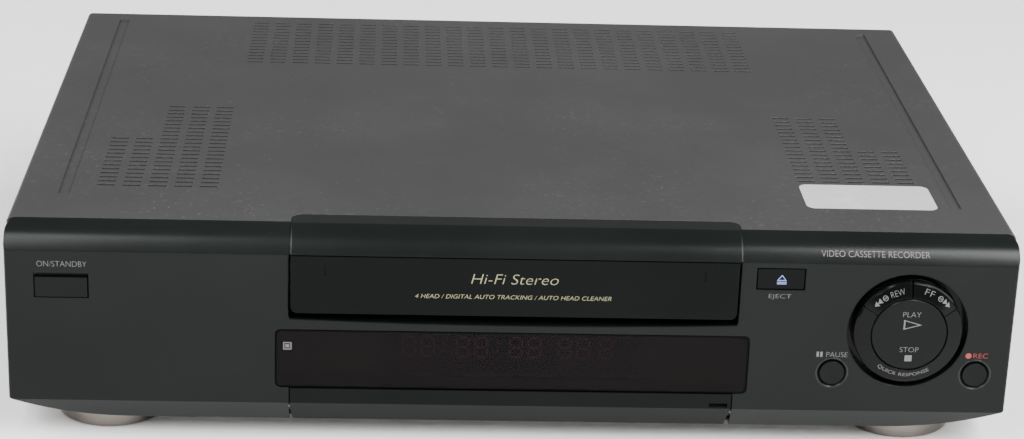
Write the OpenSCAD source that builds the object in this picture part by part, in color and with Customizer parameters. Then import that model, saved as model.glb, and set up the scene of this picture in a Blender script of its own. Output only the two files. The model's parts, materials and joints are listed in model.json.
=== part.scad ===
// Full-width home video cassette recorder, front loading, with a drop-down door.
// Every module is drawn with y = 0 on the front face and z = 0 on the table.

/* [Case] */
// Width over the front panel and cover
case_w = 430; // [424:1:450]
// Height from the table to the top of the cover
case_h = 99; // [98.5:0.5:110]
// Depth of the sheet-metal cover
cover_depth = 298; // [294:1:330]
// Thickness of the cover sheet
cover_sheet = 0.8; // [0.6:0.1:1]
// Outside bend radius along the cover's two top edges
cover_bend = 2.6; // [1.5:0.1:3.5]
// Thickness of the bottom pan and rear panel sheet
pan_sheet = 1; // [0.8:0.1:1.2]
// Height of the bottom pan over the table
foot_h = 11; // [10.5:0.5:14]
// Height of the pan's bent side flanges
flange_h = 14; // [10:1:20]

/* [Front panel] */
// Depth of the front panel, face to cover edge
panel_t = 12; // [11.5:0.5:16]
// Wall of the front panel moulding
panel_wall = 2.2; // [1.8:0.1:2.4]
// Height of the rolled band along the top of the panel
band_h = 10.34; // [9.5:0.1:11]
// Radius of the rolled band
band_r = 18.7; // [17.5:0.1:24]
// Height of the receding strip along the bottom
chamfer_h = 10.6; // [9.5:0.1:11.5]
// How far that strip recedes
chamfer_run = 7; // [6:0.1:7.5]
// How far the panel hangs below the pan
panel_drop = 1.5; // [0.8:0.1:2]
// Straight length of the panel's lower edge, middle to corner sweep
sweep_start = 165; // [155:1:170]
// Radius of the lower edge's upward sweep at each end
sweep_r = 118; // [110:1:150]
// Corner radius at the ends of the rolled band
end_r = 4; // [2:0.5:6]
// Vertical edge radius at the ends of the face
side_r = 1.5; // [0.8:0.1:2]
// Width of the raised surround over the cassette door
surround_w = 191; // [188:1:196]
// How far the surround stands proud of the band
surround_proud = 1; // [0.6:0.1:1.5]
// How far the surround runs back into the cover
surround_back = 8.7; // [6:0.1:10]

/* [Cassette door] */
// Width of the cassette door
flap_w = 190; // [188:0.5:191]
// Height of the cassette door
flap_h = 26; // [25:0.1:26.3]
// Thickness of the cassette door
flap_t = 2.2; // [1.8:0.1:2.5]
// Gap round the cassette door
flap_gap = 0.5; // [0.4:0.1:0.8]
// Depth of the finger scoop below the cassette door
scoop_h = 4.9; // [4.5:0.1:5.5]
// Distance of the door's hinge line behind the face
flap_hinge_y = 4.2; // [4:0.1:4.5]
// Height of the hinge line over the door's top edge
flap_hinge_up = 1.8; // [1.6:0.1:2]
// Radius of the hinge pins
flap_pin_r = 1.2; // [1:0.05:1.3]

/* [Window and lower door] */
// Width of the smoked display window
window_w = 202.2; // [198:0.2:206]
// Height of the window
window_h = 26.1; // [25:0.1:26.5]
// Thickness of the window
window_t = 2; // [1.5:0.1:2.2]
// Height of the lower door's upright part
door_face_h = 6.9; // [6.5:0.1:7.5]
// Width of the lower door
door_w = 190.4; // [188:0.2:192]
// Gap round the lower door and window
door_gap = 0.5; // [0.4:0.1:0.7]
// Thickness of the lower door
door_t = 2; // [1.8:0.1:2.3]
// Radius of the lower door's hinge pins
door_pin_r = 1; // [0.8:0.05:1.1]

/* [Controls] */
// Running gap between a button and its hole
button_gap = 0.5; // [0.35:0.05:0.6]
// How far a button travels
button_travel = 1; // [0.8:0.1:1.2]
// Width of the power button
power_w = 21.9; // [20:0.1:24]
// Height of the power button
power_h = 8.8; // [8:0.1:10]
// Centre of the power button from the panel's left end
power_in = 23.75; // [20:0.25:30]
// Centre of the power button below the top
power_down = 26.7; // [25:0.1:30]
// Width of the eject button
eject_w = 20; // [18:0.1:22]
// Height of the eject button
eject_h = 9.1; // [8:0.1:10]
// Centre of the eject button from the middle
eject_x = 113; // [112:0.5:118]
// Centre of the eject button below the top
eject_down = 17.75; // [17:0.25:20]
// Centre of the control ring from the panel's right end
ring_in = 45.75; // [44:0.25:50]
// Centre of the control ring below the top
ring_down = 40.8; // [39:0.2:42]
// Radius of the well that the ring stands in
well_r = 26.05; // [25.5:0.05:27]
// Outer radius of the control ring
ring_r = 23.45; // [22.5:0.05:24]
// Radius of the play and stop disc
disc_r = 16.2; // [15.5:0.1:16.6]
// How far the disc stands proud of the face
disc_proud = 4; // [3.5:0.1:5]
// Half of the arc that each wind button covers
wind_arc = 30; // [26:1:34]
// Gap round the wind buttons and the disc
ring_gap = 0.45; // [0.35:0.05:0.5]
// Tilt of the play and stop disc each way
disc_tilt = 2.5; // [2:0.1:2.5]
// Radius of the pause and record buttons
round_r = 5.3; // [5:0.1:5.5]
// Centre of the record button from the panel's right end
record_in = 14.8; // [13:0.1:15.5]
// Centre of the pause button from the panel's right end
pause_in = 77; // [76:0.5:79]
// Centre of the pause and record buttons below the top
round_down = 60.9; // [59:0.1:62]

/* [Feet] */
// Radius of a front foot
foot_r = 24; // [20:0.5:25]
// Radius of a rear foot
rear_foot_r = 18; // [14:0.5:20]
// Feet centres from the middle
foot_x = 175; // [170:1:180]
// Front feet behind the face
foot_front_y = 38.8; // [38:0.2:44]
// Rear feet in front of the back
foot_rear_in = 42; // [36:1:60]
// Thickness of the soft pads under the feet
pad_t = 1.5; // [1:0.1:2.5]

/* [Cover vents] */
// Length of a vent slot
slot_l = 7.7; // [7:0.1:8.5]
// Width of a vent slot
slot_w = 1.8; // [1.4:0.1:2.2]
// Spacing of slot columns
slot_dx = 11.2; // [10.5:0.1:11.5]
// Spacing of slot rows
slot_dy = 5.1; // [4.8:0.1:5.3]
// Slots in a short front column
slot_short = 13; // [6:1:16]
// Slots in a long front column
slot_long = 22; // [16:1:24]
// Columns in each front field
field_cols = 5; // [3:1:5]
// Columns in the rear field
rear_cols = 23; // [10:1:23]
// Rows in the rear field
rear_rows = 14; // [6:1:14]
// Width of the long pressed beads
bead_w = 5; // [4:0.5:6]
// Depth of the pressed beads
bead_d = 0.8; // [0.5:0.1:1]

/* [Tape deck] */
// Height of the deck plate over the table
deck_z = 30; // [29:0.5:31]
// Thickness of the deck plate
deck_t = 1.2; // [1:0.1:1.5]
// Half width of the deck plate
deck_half = 104; // [103:0.5:105]
// Front edge of the deck plate behind the face
deck_y = 34; // [34:0.5:36]
// Length of the deck plate
deck_len = 220; // [218:1:224]
// Width that the cassette needs
tape_w = 189; // [188.5:0.1:189.2]
// Height that the cassette needs
tape_h = 25.4; // [25:0.1:25.6]
// Length of the cassette holder
holder_len = 100; // [96:1:101]
// How far the holder slides back
holder_travel = 24; // [22:0.5:24]
// Height of a loaded cassette's underside
loaded_z = 40.2; // [40:0.1:41]
// Sheet of the holder, slider and side frames
frame_t = 1.2; // [1:0.1:1.3]
// Drum radius
drum_r = 31; // [30:0.1:31.5]
// Drum tilt towards the front
drum_tilt = 6; // [5:0.5:6.5]
// Drum centre behind the face
drum_y = 205; // [204:0.5:206]
// Spacing of the two reel tables
reel_span = 92; // [91:0.5:92.5]
// Reel centres behind the face
reel_y = 110; // [109:0.5:111]
// Radius of a reel table
reel_r = 22; // [20:0.5:22]
// Radius of the capstan shaft
capstan_r = 1.5; // [1.2:0.1:1.6]
// Radius of the pinch roller
pinch_r = 8; // [7.5:0.1:8]
// Running clearance of every shaft in its bore
run_gap = 0.05; // [0.03:0.01:0.08]
// Gear module of the loading gears
tooth_m = 1; // [0.95:0.05:1]

/* [Hidden] */
$fn = 64;
eps = 0.01;

// Overall places
half_w = case_w / 2;
socket_proud = 8;
back_y = panel_t + cover_depth;
face_y = -(disc_proud + back_y + socket_proud) / 2 + disc_proud;
panel_z = foot_h - panel_drop;
crease_z = case_h - band_h;
chamfer_z = panel_z + chamfer_h;
pan_top = foot_h + pan_sheet;
inner_top = case_h - cover_sheet;

module placed() { translate([0, face_y, 0]) children(); }
module box(x0, x1, y0, y1, z0, z1) { translate([x0, y0, z0]) cube([x1 - x0, y1 - y0, z1 - z0]); }
module rod_x(r, x0, x1, y, z) { translate([x0, y, z]) rotate([0, 90, 0]) cylinder(r = r, h = x1 - x0); }
module rod_y(r, y0, y1, x, z) { translate([x, y0, z]) rotate([-90, 0, 0]) cylinder(r = r, h = y1 - y0); }
module rod_z(r, z0, z1, x, y) { translate([x, y, z0]) cylinder(r = r, h = z1 - z0); }
module tube_z(r, bore, z0, z1, x, y) {
  difference() {
    rod_z(r, z0, z1, x, y);
    rod_z(bore, z0 - 1, z1 + 1, x, y);
  }
}
// A flat drawing pushed along one axis; the drawing's axes are the other two in order
module along_x(x0, x1) { translate([x0, 0, 0]) rotate([90, 0, 90]) linear_extrude(x1 - x0) children(); }
module along_y(y0, y1) { translate([0, y1, 0]) rotate([90, 0, 0]) linear_extrude(y1 - y0) children(); }
module along_z(z0, z1) { translate([0, 0, z0]) linear_extrude(z1 - z0) children(); }
module rect(x0, x1, y0, y1) { translate([x0, y0]) square([x1 - x0, y1 - y0]); }
module round_rect(x0, x1, y0, y1, r) {
  rect(x0 + r, x1 - r, y0, y1);
  rect(x0, x1, y0 + r, y1 - r);
  for (x = [x0 + r, x1 - r], y = [y0 + r, y1 - r]) translate([x, y]) circle(r = r);
}

// ---- Front panel geometry ----
surround_x0 = 0.5 - surround_w / 2;
surround_x1 = 0.5 + surround_w / 2;
surround_z = crease_z + 0.24;
surround_wall = 1.8;
flap_top = surround_z - 0.4;
flap_z = flap_top - flap_h;
sill_z = flap_z - scoop_h;
flap_axis_z = flap_top + flap_hinge_up;
slot_half = flap_w / 2 + flap_gap + 0.5;
sill_bow_r = 2700;
scoop_corner = 4;
door_top = chamfer_z + door_face_h;
window_z = door_top + 0.9;
window_top = window_z + window_h;
window_half = window_w / 2;
window_r = 2.5;
door_half = door_w / 2;
door_axis_y = chamfer_run + 0.2;
door_axis_z = panel_z + 3;
knuckle_r = 1.75;

// Centre of the band's arc, from its two ends and its radius
chord = norm([panel_t, band_h]);
arc_back = sqrt(band_r * band_r - chord * chord / 4);
arc_y = panel_t / 2 + arc_back * band_h / chord;
arc_z = crease_z + band_h / 2 - arc_back * panel_t / chord;
chamfer_l = norm([chamfer_run, chamfer_h]);

// Side view of the panel, moved in by g all round
module panel_side(g) {
  knee_z = chamfer_z + g * chamfer_run / chamfer_l - g * (1 - chamfer_h / chamfer_l) * chamfer_h / chamfer_run;
  toe_y = g + (knee_z - panel_z - g) * chamfer_run / chamfer_h;
  r = band_r - g;
  brow_z = arc_z + sqrt(r * r - (arc_y - g) * (arc_y - g));
  top_z = arc_z + sqrt(r * r - (arc_y - panel_t) * (arc_y - panel_t));
  back = g > 0 ? [[panel_t + 1, top_z], [panel_t + 1, panel_z + g]] : [[panel_t, panel_z]];
  polygon(concat([[toe_y, panel_z + g], [g, knee_z], [g, brow_z], [panel_t, top_z]], back));
  intersection() {
    translate([arc_y, arc_z]) circle(r = r, $fn = 96);
    polygon([[g, brow_z], [g, top_z], [panel_t, top_z]]);
  }
}

// Front view: straight sides, lower edge swept up at both ends
module panel_front(g) {
  intersection() {
    round_rect(g - half_w, half_w - g, panel_z + g, case_h - (g > 0 ? -1 : 0), g > 0 ? 0.5 : end_r);
    union() {
      rect(-sweep_start, sweep_start, panel_z + g, case_h + 2);
      for (s = [-1, 1]) translate([s * sweep_start, panel_z + sweep_r]) circle(r = sweep_r - g, $fn = 128);
    }
  }
}

module panel_shell() {
  difference() {
    intersection() {
      along_x(-half_w, half_w) panel_side(0);
      along_y(-1, panel_t) panel_front(0);
      along_z(0, case_h) round_rect(-half_w, half_w, 0, panel_t * 2, side_r);
    }
    intersection() {
      along_x(-half_w, half_w) panel_side(panel_wall);
      along_y(-1, panel_t + 2) panel_front(panel_wall);
    }
  }
}

module surround() {
  r = band_r;
  y = arc_y - surround_proud;
  strip_y = y - sqrt(r * r - (case_h - arc_z) * (case_h - arc_z));
  along_x(surround_x0, surround_x1) difference() {
    union() {
      intersection() {
        translate([y, arc_z]) circle(r = r, $fn = 96);
        rect(-5, panel_t, surround_z, case_h);
      }
      rect(strip_y, panel_t, case_h - surround_wall, case_h);
    }
    translate([y, arc_z]) circle(r = r - surround_wall, $fn = 96);
  }
  along_z(case_h - surround_wall, case_h) difference() {
    round_rect(surround_x0, surround_x1, panel_t - 12, panel_t + surround_back, 4.5);
    rect(surround_x0 - 1, surround_x1 + 1, panel_t - 13, panel_t - 0.5);
  }
}

// Opening of the cassette slot, seen from the front
module slot_front() {
  rect(-slot_half, slot_half, sill_z + 12, surround_z);
  intersection() {
    round_rect(-slot_half, slot_half, sill_z, sill_z + 16, scoop_corner);
    translate([0, sill_z + sill_bow_r]) circle(r = sill_bow_r, $fn = 256);
  }
}

// Button places
power_x = power_in - half_w;
power_z = case_h - power_down;
eject_z = case_h - eject_down;
ring_x = half_w - ring_in;
ring_z = case_h - ring_down;
record_x = half_w - record_in;
pause_x = half_w - pause_in;
round_z = case_h - round_down;
board_y = 18;
board_t = 1.6;
switch_tip = 13.3;
flange_lip = 1.2;
flange_seat = 0.25;
flange_t = 1.2;
well_depth = 6.2;
well_wall = 1.55;
round_hole = round_r + 0.3;
jack_z = door_axis_z + 8.2;
jack_plate_y = 11.2;
jack_plate_t = 1.4;
jack_xs = [-70, -54, -38];
door_button_xs = [22, 38, 54];
door_button_w = 9;
door_button_h = 5;
panel_bosses = [[15 - half_w, 34], [15 - half_w, case_h - 43], [-116, case_h - 19], [-116, 34],
  [116, case_h - 34], [116, 30], [half_w - 10, case_h - 21], [half_w - 10, 24]];
boss_r = 3;
screw_r = 1.4;

module front_holes() {
  rect(power_x - power_w / 2 - button_gap, power_x + power_w / 2 + button_gap,
       power_z - power_h / 2 - button_gap, power_z + power_h / 2 + button_gap);
  rect(eject_x - eject_w / 2 - button_gap, eject_x + eject_w / 2 + button_gap,
       eject_z - eject_h / 2 - button_gap, eject_z + eject_h / 2 + button_gap);
  for (x = [pause_x, record_x]) translate([x, round_z]) circle(r = round_hole);
  translate([ring_x, ring_z]) circle(r = well_r, $fn = 128);
  round_rect(-window_half - door_gap, window_half + door_gap, window_z - 0.5, window_top + door_gap, window_r);
  rect(-door_half - door_gap, door_half + door_gap, panel_z - 5, window_z + 5);
}

module front_panel() color([0.17, 0.19, 0.185]) placed() {
  difference() {
    union() {
      difference() {
        panel_shell();
        box(surround_x0 + 0.5, surround_x1 - 0.5, -3, panel_t + 1, surround_z - 0.4, case_h + 1);
      }
      surround();
      // Cheeks beside the cassette slot, which carry the door's pins
      for (s = [-1, 1]) {
        cheek_x = s * (slot_half + 1.5);
        box(cheek_x - 1.5, cheek_x + 1.5, panel_wall - 0.5, 9, sill_z - 2, crease_z);
        box(cheek_x - 1.5, cheek_x + 1.5, flap_hinge_y - 1, 9, crease_z - 1, crease_z + 3.8);
      }
      // Shelf that guides a cassette in over the sill
      box(-slot_half, slot_half, panel_wall - 0.5, deck_y - 3, sill_z - 1.6, sill_z);
      // Well of the control ring
      translate([ring_x, 0, ring_z]) rotate([-90, 0, 0]) difference() {
        translate([0, 0, 1]) cylinder(r = well_r + well_wall, h = well_depth - 1, $fn = 128);
        translate([0, 0, -1]) cylinder(r = well_r, h = well_depth + 2, $fn = 128);
      }
      // Ledge behind the window's top and sides
      along_y(panel_wall - 0.3, panel_wall + 1) difference() {
        rect(-window_half - 3, window_half + 3, window_z, window_top + 2.5);
        rect(2 - window_half, window_half - 2, window_z - 1, window_top - 2);
      }
      // Cheeks and jack plate behind the lower door
      intersection() {
        for (s = [-1, 1]) box(s * (door_half + 1.6) - 1.1, s * (door_half + 1.6) + 1.1,
                              chamfer_run - 3, jack_plate_y + jack_plate_t, panel_z, window_z);
        along_x(-half_w, half_w) panel_side(0.5);
      }
      box(-door_half - 2, door_half + 2, jack_plate_y, jack_plate_y + jack_plate_t, door_axis_z + 2, window_z);
      // Bosses for the board behind
      for (p = panel_bosses) rod_y(boss_r, 1, board_y - 0.05, p[0], p[1]);
      // Lips that tuck under the cover
      for (s = [-1, 1]) box(s * (half_w - 60) - 52, s * (half_w - 60) + 52, panel_t - 2, panel_t + 6,
                            inner_top - 1.9, inner_top - 0.3);
      for (s = [-1, 1]) box(s * (half_w - 1.9) - 0.7, s * (half_w - 1.9) + 0.7, panel_t - 2, panel_t + 6, 30, crease_z - 0.66);
    }
    along_y(-3, panel_wall) slot_front();
    box(-slot_half, slot_half, -3, panel_t, sill_z + 5, surround_z);
    along_y(-3, panel_wall + 0.01) front_holes();
    box(-door_half - door_gap, door_half + door_gap, -3, jack_plate_y, panel_z - 1, door_top + 0.3);
    box(-door_half - door_gap, door_half + door_gap, chamfer_run - 2, panel_t + 3, panel_z - 1, door_axis_z + 2);
    // Scoops and bevels round the buttons
    along_x(power_x - power_w / 2 - 0.5, power_x + power_w / 2 + 0.5)
      polygon([[-1, power_z + power_h / 2 + 4.6], [1.1, power_z + power_h / 2 + 0.3], [-1, power_z + power_h / 2]]);
    for (x = [pause_x, record_x]) translate([x, -eps, round_z]) rotate([-90, 0, 0])
      cylinder(r1 = round_hole + 0.8, r2 = round_hole, h = 0.8);
    // Pin bores
    for (s = [-1, 1]) {
      rod_x(flap_pin_r + run_gap, s * (slot_half + 0.7) - 2.8, s * (slot_half + 0.7) + 2.8, flap_hinge_y, flap_axis_z);
      rod_x(door_pin_r + run_gap, s * (door_half + 1.6) - 2, s * (door_half + 1.6) + 2, door_axis_y, door_axis_z);
    }
    for (p = panel_bosses) rod_y(screw_r + run_gap, board_y - 10, board_y + 1, p[0], p[1]);
    for (x = jack_xs) rod_y(4.6, jack_plate_y - 1, panel_t + 5, x, jack_z);
    for (x = door_button_xs) box(x - door_button_w / 2 - button_gap, x + door_button_w / 2 + button_gap,
      jack_plate_y - 1, panel_t + 5, jack_z - door_button_h / 2 - button_gap, jack_z + door_button_h / 2 + button_gap);
  }
}

// ---- Outer case ----
bead_x = half_w - 20.5;
bead_y0 = panel_t + 29;
bead_y1 = back_y - 10;
field_y = panel_t + 39.5;
rear_field_y = back_y - 12.7 - (rear_rows - 1) * slot_dy;
field_in = 33.5;
screw_xs = [-half_w + 25, 0, half_w - 25];
lip_h = 9;
lip_z = inner_top - 5;

module slot_field(x0, y0, cols, rows_of) {
  for (c = [0:cols - 1], r = [0:rows_of[c] - 1])
    translate([x0 + c * slot_dx, y0 + r * slot_dy]) square([slot_l, slot_w]);
}
module cover_plan() {
  short_long = [for (c = [0:field_cols - 1]) c < 2 ? slot_short : slot_long];
  long_short = [for (c = [0:field_cols - 1]) c < 3 ? slot_long : slot_short];
  span = (field_cols - 1) * slot_dx + slot_l;
  difference() {
    rect(-half_w, half_w, panel_t, back_y);
    translate([0, panel_t]) round_rect(surround_x0 - 0.3, surround_x1 + 0.3, -10, surround_back + 0.3, 4.8);
    slot_field(-half_w + field_in, field_y, field_cols, short_long);
    slot_field(half_w - field_in - span, field_y, field_cols, long_short);
    slot_field(0.5 - ((rear_cols - 1) * slot_dx + slot_l) / 2, rear_field_y, rear_cols, [for (c = [1:rear_cols]) rear_rows]);
  }
}
module cover_section() {
  difference() {
    round_rect(-half_w, half_w, foot_h, case_h, cover_bend);
    round_rect(cover_sheet - half_w, half_w - cover_sheet, foot_h - 5, inner_top, cover_bend - cover_sheet);
    rect(-half_w, half_w, foot_h - 1, foot_h + 4);
  }
  for (s = [-1, 1]) rect(s * (half_w - cover_sheet / 2) - cover_sheet / 2,
                         s * (half_w - cover_sheet / 2) + cover_sheet / 2, foot_h, foot_h + 5);
}
relief_len = 9;
relief_h = 4;
module top_cover() color([0.36, 0.36, 0.36]) placed() {
  difference() {
    union() {
      difference() {
        along_y(panel_t, back_y) cover_section();
        box(-half_w + 15, half_w - 15, panel_t - 1, back_y + 1, inner_top - eps, case_h + 1);
      }
      along_z(inner_top, case_h) intersection() {
        cover_plan();
        rect(-half_w + 15, half_w - 15, panel_t, back_y);
      }
      for (s = [-1, 1]) box(s * bead_x - bead_w / 2 - cover_sheet, s * bead_x + bead_w / 2 + cover_sheet,
        bead_y0 - cover_sheet, bead_y1 + cover_sheet, inner_top - bead_d, inner_top + eps);
      // Rear lip over the back panel
      box(cover_bend - half_w, half_w - cover_bend, back_y - cover_sheet, back_y, inner_top - lip_h, inner_top + eps);
    }
    for (s = [-1, 1]) box(s * bead_x - bead_w / 2, s * bead_x + bead_w / 2, bead_y0, bead_y1, case_h - bead_d, case_h + 1);
    for (x = screw_xs) rod_y(1.7, back_y - 3, back_y + 3, x, lip_z);
    // Relief behind the swept-up ends of the panel
    for (s = [-1, 1]) box(s * half_w - 2, s * half_w + 2, panel_t - 1, panel_t + relief_len, foot_h - 1, foot_h + relief_h);
  }
}

rear_y = back_y - cover_sheet - 0.1 - pan_sheet;
pan_y0 = panel_t + 1;
pan_half = half_w - cover_sheet - 0.3;
foot_ys = [foot_front_y, back_y - foot_rear_in];
// Screw posts under the two boards and the deck: [x, y]
main_posts = [[-84, 62], [-84, 286], [20, 286], [198, 62], [198, 286], [120, 150]];
power_posts = [[-200, 80], [-125, 80], [-200, 270], [-125, 270]];
deck_posts = [[-96, deck_y + 8], [96, deck_y + 8], [-96, deck_y + deck_len - 8], [96, deck_y + deck_len - 8]];
main_z = pan_top + 2.5;
power_z0 = pan_top + 6;
post_r = 3;
deck_post_r = 4;

module chassis_pan() color([0.62, 0.63, 0.64]) placed() {
  difference() {
    union() {
      box(-pan_half, pan_half, pan_y0, rear_y - 0.1, foot_h, pan_top);
      for (s = [-1, 1]) box(s * (pan_half - pan_sheet / 2) - pan_sheet / 2,
        s * (pan_half - pan_sheet / 2) + pan_sheet / 2, pan_y0 + 8, rear_y - 0.1, foot_h, foot_h + flange_h);
      for (p = main_posts) rod_z(post_r, foot_h, main_z - 0.02, p[0], p[1]);
      for (p = power_posts) rod_z(post_r, foot_h, power_z0 - 0.02, p[0], p[1]);
      for (p = deck_posts) rod_z(deck_post_r, foot_h, deck_z - 0.02, p[0], p[1]);
    }
    for (p = concat(main_posts, power_posts, deck_posts)) rod_z(screw_r + run_gap, foot_h - 1, deck_z + 1, p[0], p[1]);
    for (s = [-1, 1], y = foot_ys) rod_z(2, foot_h - 1, pan_top + 1, s * foot_x, y);
    for (s = [-1, 1]) box(s * half_w - relief_len, s * half_w + relief_len, pan_y0 - 1, pan_y0 + 5, foot_h - 1, pan_top + 1);
    // Air slots under the power supply and the deck
    for (i = [0:9], x = [-185, 150]) box(x, x + 30, 110 + i * 9, 113 + i * 9, foot_h - 1, pan_top + 1);
    for (s = [-1, 1]) box(s * (door_half / 2) - door_half / 2 - 1, s * (door_half / 2) + door_half / 2 + 1,
      pan_y0 - 1, pan_y0 + 2, foot_h - 1, pan_top + 1);
  }
}

av_x = 62;
av_zs = [30, 52];
av_w = 46;
av_h = 13;
phono_x = 18;
phono_zs = [32, 48];
phono_r = 4.15;
tuner_x0 = 112;
tuner_x1 = 172;
aerial_xs = [127, 155];
aerial_z = 40;
aerial_r = 4.75;
inlet_x = -170;
inlet_z = 34;
module rear_panel() color([0.55, 0.56, 0.57]) placed() {
  difference() {
    box(-pan_half, pan_half, rear_y, rear_y + pan_sheet, foot_h, inner_top - 0.3);
    for (z = av_zs) box(av_x - av_w / 2 - 0.3, av_x + av_w / 2 + 0.3, rear_y - 1, back_y, z - av_h / 2 - 0.3, z + av_h / 2 + 0.3);
    for (z = phono_zs, s = [0, 1]) rod_y(phono_r + 0.4, rear_y - 1, back_y, phono_x - s * 16, z);
    for (x = aerial_xs) rod_y(aerial_r + 0.4, rear_y - 1, back_y, x, aerial_z);
    box(inlet_x - 11.3, inlet_x + 11.3, rear_y - 1, back_y, inlet_z - 7.3, inlet_z + 7.3);
    for (x = screw_xs) rod_y(screw_r + run_gap, rear_y - 1, back_y, x, lip_z);
    for (i = [0:7], x = [-205, -80]) box(x + i * 9, x + i * 9 + 3, rear_y - 1, back_y, 62, 80);
  }
}

module foot(x, y, r) {
  difference() {
    rod_z(r, pad_t, foot_h - 0.02, x, y);
    rod_z(r - 6, pad_t - 1, foot_h - 3, x, y);
    rod_z(2, 0, foot_h + 1, x, y);
  }
  tube_z(5, 2, pad_t + 3, foot_h - 1, x, y);
}
module front_feet() color([0.5, 0.45, 0.42]) placed() {
  for (s = [-1, 1]) foot(s * foot_x, foot_ys[0], foot_r);
}
module rear_feet() color([0.1, 0.1, 0.1]) placed() {
  for (s = [-1, 1]) foot(s * foot_x, foot_ys[1], rear_foot_r);
}
module foot_pads() color([0.08, 0.08, 0.08]) placed() {
  for (s = [-1, 1]) {
    tube_z(foot_r - 1.5, foot_r - 5, 0, pad_t, s * foot_x, foot_ys[0]);
    tube_z(rear_foot_r - 1.5, rear_foot_r - 5, 0, pad_t, s * foot_x, foot_ys[1]);
  }
}
module case_screws() color([0.15, 0.15, 0.15]) placed() {
  for (s = [-1, 1], y = foot_ys) {
    rod_z(1.9, pad_t + 2.9, pan_top + 2.3, s * foot_x, y);
    rod_z(3.8, pad_t + 0.9, pad_t + 2.95, s * foot_x, y);
    rod_z(3.4, pan_top + 0.02, pan_top + 2, s * foot_x, y);
  }
  for (x = screw_xs) {
    rod_y(screw_r, rear_y - 4, back_y + 0.5, x, lip_z);
    rod_y(3.3, back_y + 0.02, back_y + 1.8, x, lip_z);
  }
}

// ---- Cassette door, window and lower door ----
module cassette_flap() color([0.13, 0.145, 0.14]) placed() {
  arm_x = flap_w / 2 - 2.5;
  back = flap_t - surround_proud;
  difference() {
    union() {
      along_y(-surround_proud, back) {
        round_rect(-flap_w / 2, flap_w / 2, flap_z, flap_top - 8, 3);
        rect(-flap_w / 2, flap_w / 2, flap_z + 4, flap_top);
      }
      for (s = [-1, 1]) {
        along_x(s * arm_x - 1.5, s * arm_x + 1.5) {
          translate([flap_hinge_y, flap_axis_z]) circle(r = 1.5);
          polygon([[back - 0.5, flap_top - 12], [back - 0.5, flap_top - 1], [flap_hinge_y - 1.3, flap_axis_z + 0.7],
                   [flap_hinge_y + 1.3, flap_axis_z - 0.7], [back + 2, flap_top - 7]]);
        }
        rod_x(flap_pin_r, s * (arm_x + 2.4) - 2.6, s * (arm_x + 2.4) + 2.6, flap_hinge_y, flap_axis_z);
      }
      // Stub that carries the closing spring
      rod_x(1, arm_x - 7, arm_x, flap_hinge_y, flap_axis_z);
    }
    // Two small sighting marks
    for (s = [-1, 1]) box(s * (flap_w / 2 - 14.5) - 0.4, s * (flap_w / 2 - 14.5) + 0.4,
                          -surround_proud - 1, -surround_proud + 0.35, flap_top - 8.5, flap_top - 4.2);
  }
}
module flap_spring() color([0.75, 0.75, 0.76]) placed() {
  x1 = flap_w / 2 - 4.6;
  difference() {
    union() {
      rod_x(1.6, x1 - 4, x1, flap_hinge_y, flap_axis_z);
      box(x1 - 4, x1 - 3.2, flap_hinge_y, flap_hinge_y + 8, flap_axis_z + 1, flap_axis_z + 1.8);
      box(x1 - 0.9, x1 - 0.1, flap_hinge_y + 0.5, flap_hinge_y + 8, flap_axis_z + 1, flap_axis_z + 1.8);
      box(x1 - 4, x1 - 0.1, flap_hinge_y + 7.2, flap_hinge_y + 8, flap_axis_z + 1, case_h - surround_wall - 0.1);
    }
    rod_x(1.2, x1 - 5, x1 + 1, flap_hinge_y, flap_axis_z);
  }
}
module display_window() color([0.12, 0.1, 0.105]) placed() {
  along_y(panel_wall - window_t, panel_wall) round_rect(-window_half, window_half, window_z, window_top, window_r);
}
module lower_door() color([0.17, 0.19, 0.185]) placed() {
  difference() {
    union() {
      intersection() {
        along_x(-door_half, door_half) difference() {
          panel_side(0);
          panel_side(door_t);
        }
        along_y(-1, chamfer_run + 1.2)
          polygon([[-door_half, door_top], [door_half, door_top], [door_half, chamfer_z], [door_half - 2, panel_z - 1],
                   [1.2 - door_half, panel_z - 1], [-door_half, chamfer_z - 4]]);
      }
      for (s = [-1, 1]) {
        rod_x(knuckle_r, s * (door_half - 4) - 1.5, s * (door_half - 4) + 1.5, door_axis_y, door_axis_z);
        rod_x(door_pin_r, s * (door_half - 1) - 3.4, s * (door_half - 1) + 3.4, door_axis_y, door_axis_z);
      }
    }
    // Finger notch
    along_x(door_half - 9.5, door_half - 1.5)
      polygon([[-1, door_top - 3.2], [1.3, door_top - 5.8], [-1, door_top - 6.7]]);
  }
}

// ---- Controls ----
stem_tip = switch_tip - button_travel - 0.15;
wind_r = (ring_r + disc_r + ring_gap) / 2;
wind_slit = 1;
wind_stem_r = 1.1;
ring_wall = 1.2;
wind_dx = wind_r * sin(wind_arc);
wind_dz = wind_r * cos(wind_arc);
rocker_r = 9;
switch_places = [[power_x, power_z], [eject_x, eject_z], [pause_x, round_z], [record_x, round_z],
  [ring_x - wind_dx, ring_z + wind_dz], [ring_x + wind_dx, ring_z + wind_dz],
  [ring_x, ring_z + rocker_r], [ring_x, ring_z - rocker_r]];

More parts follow.
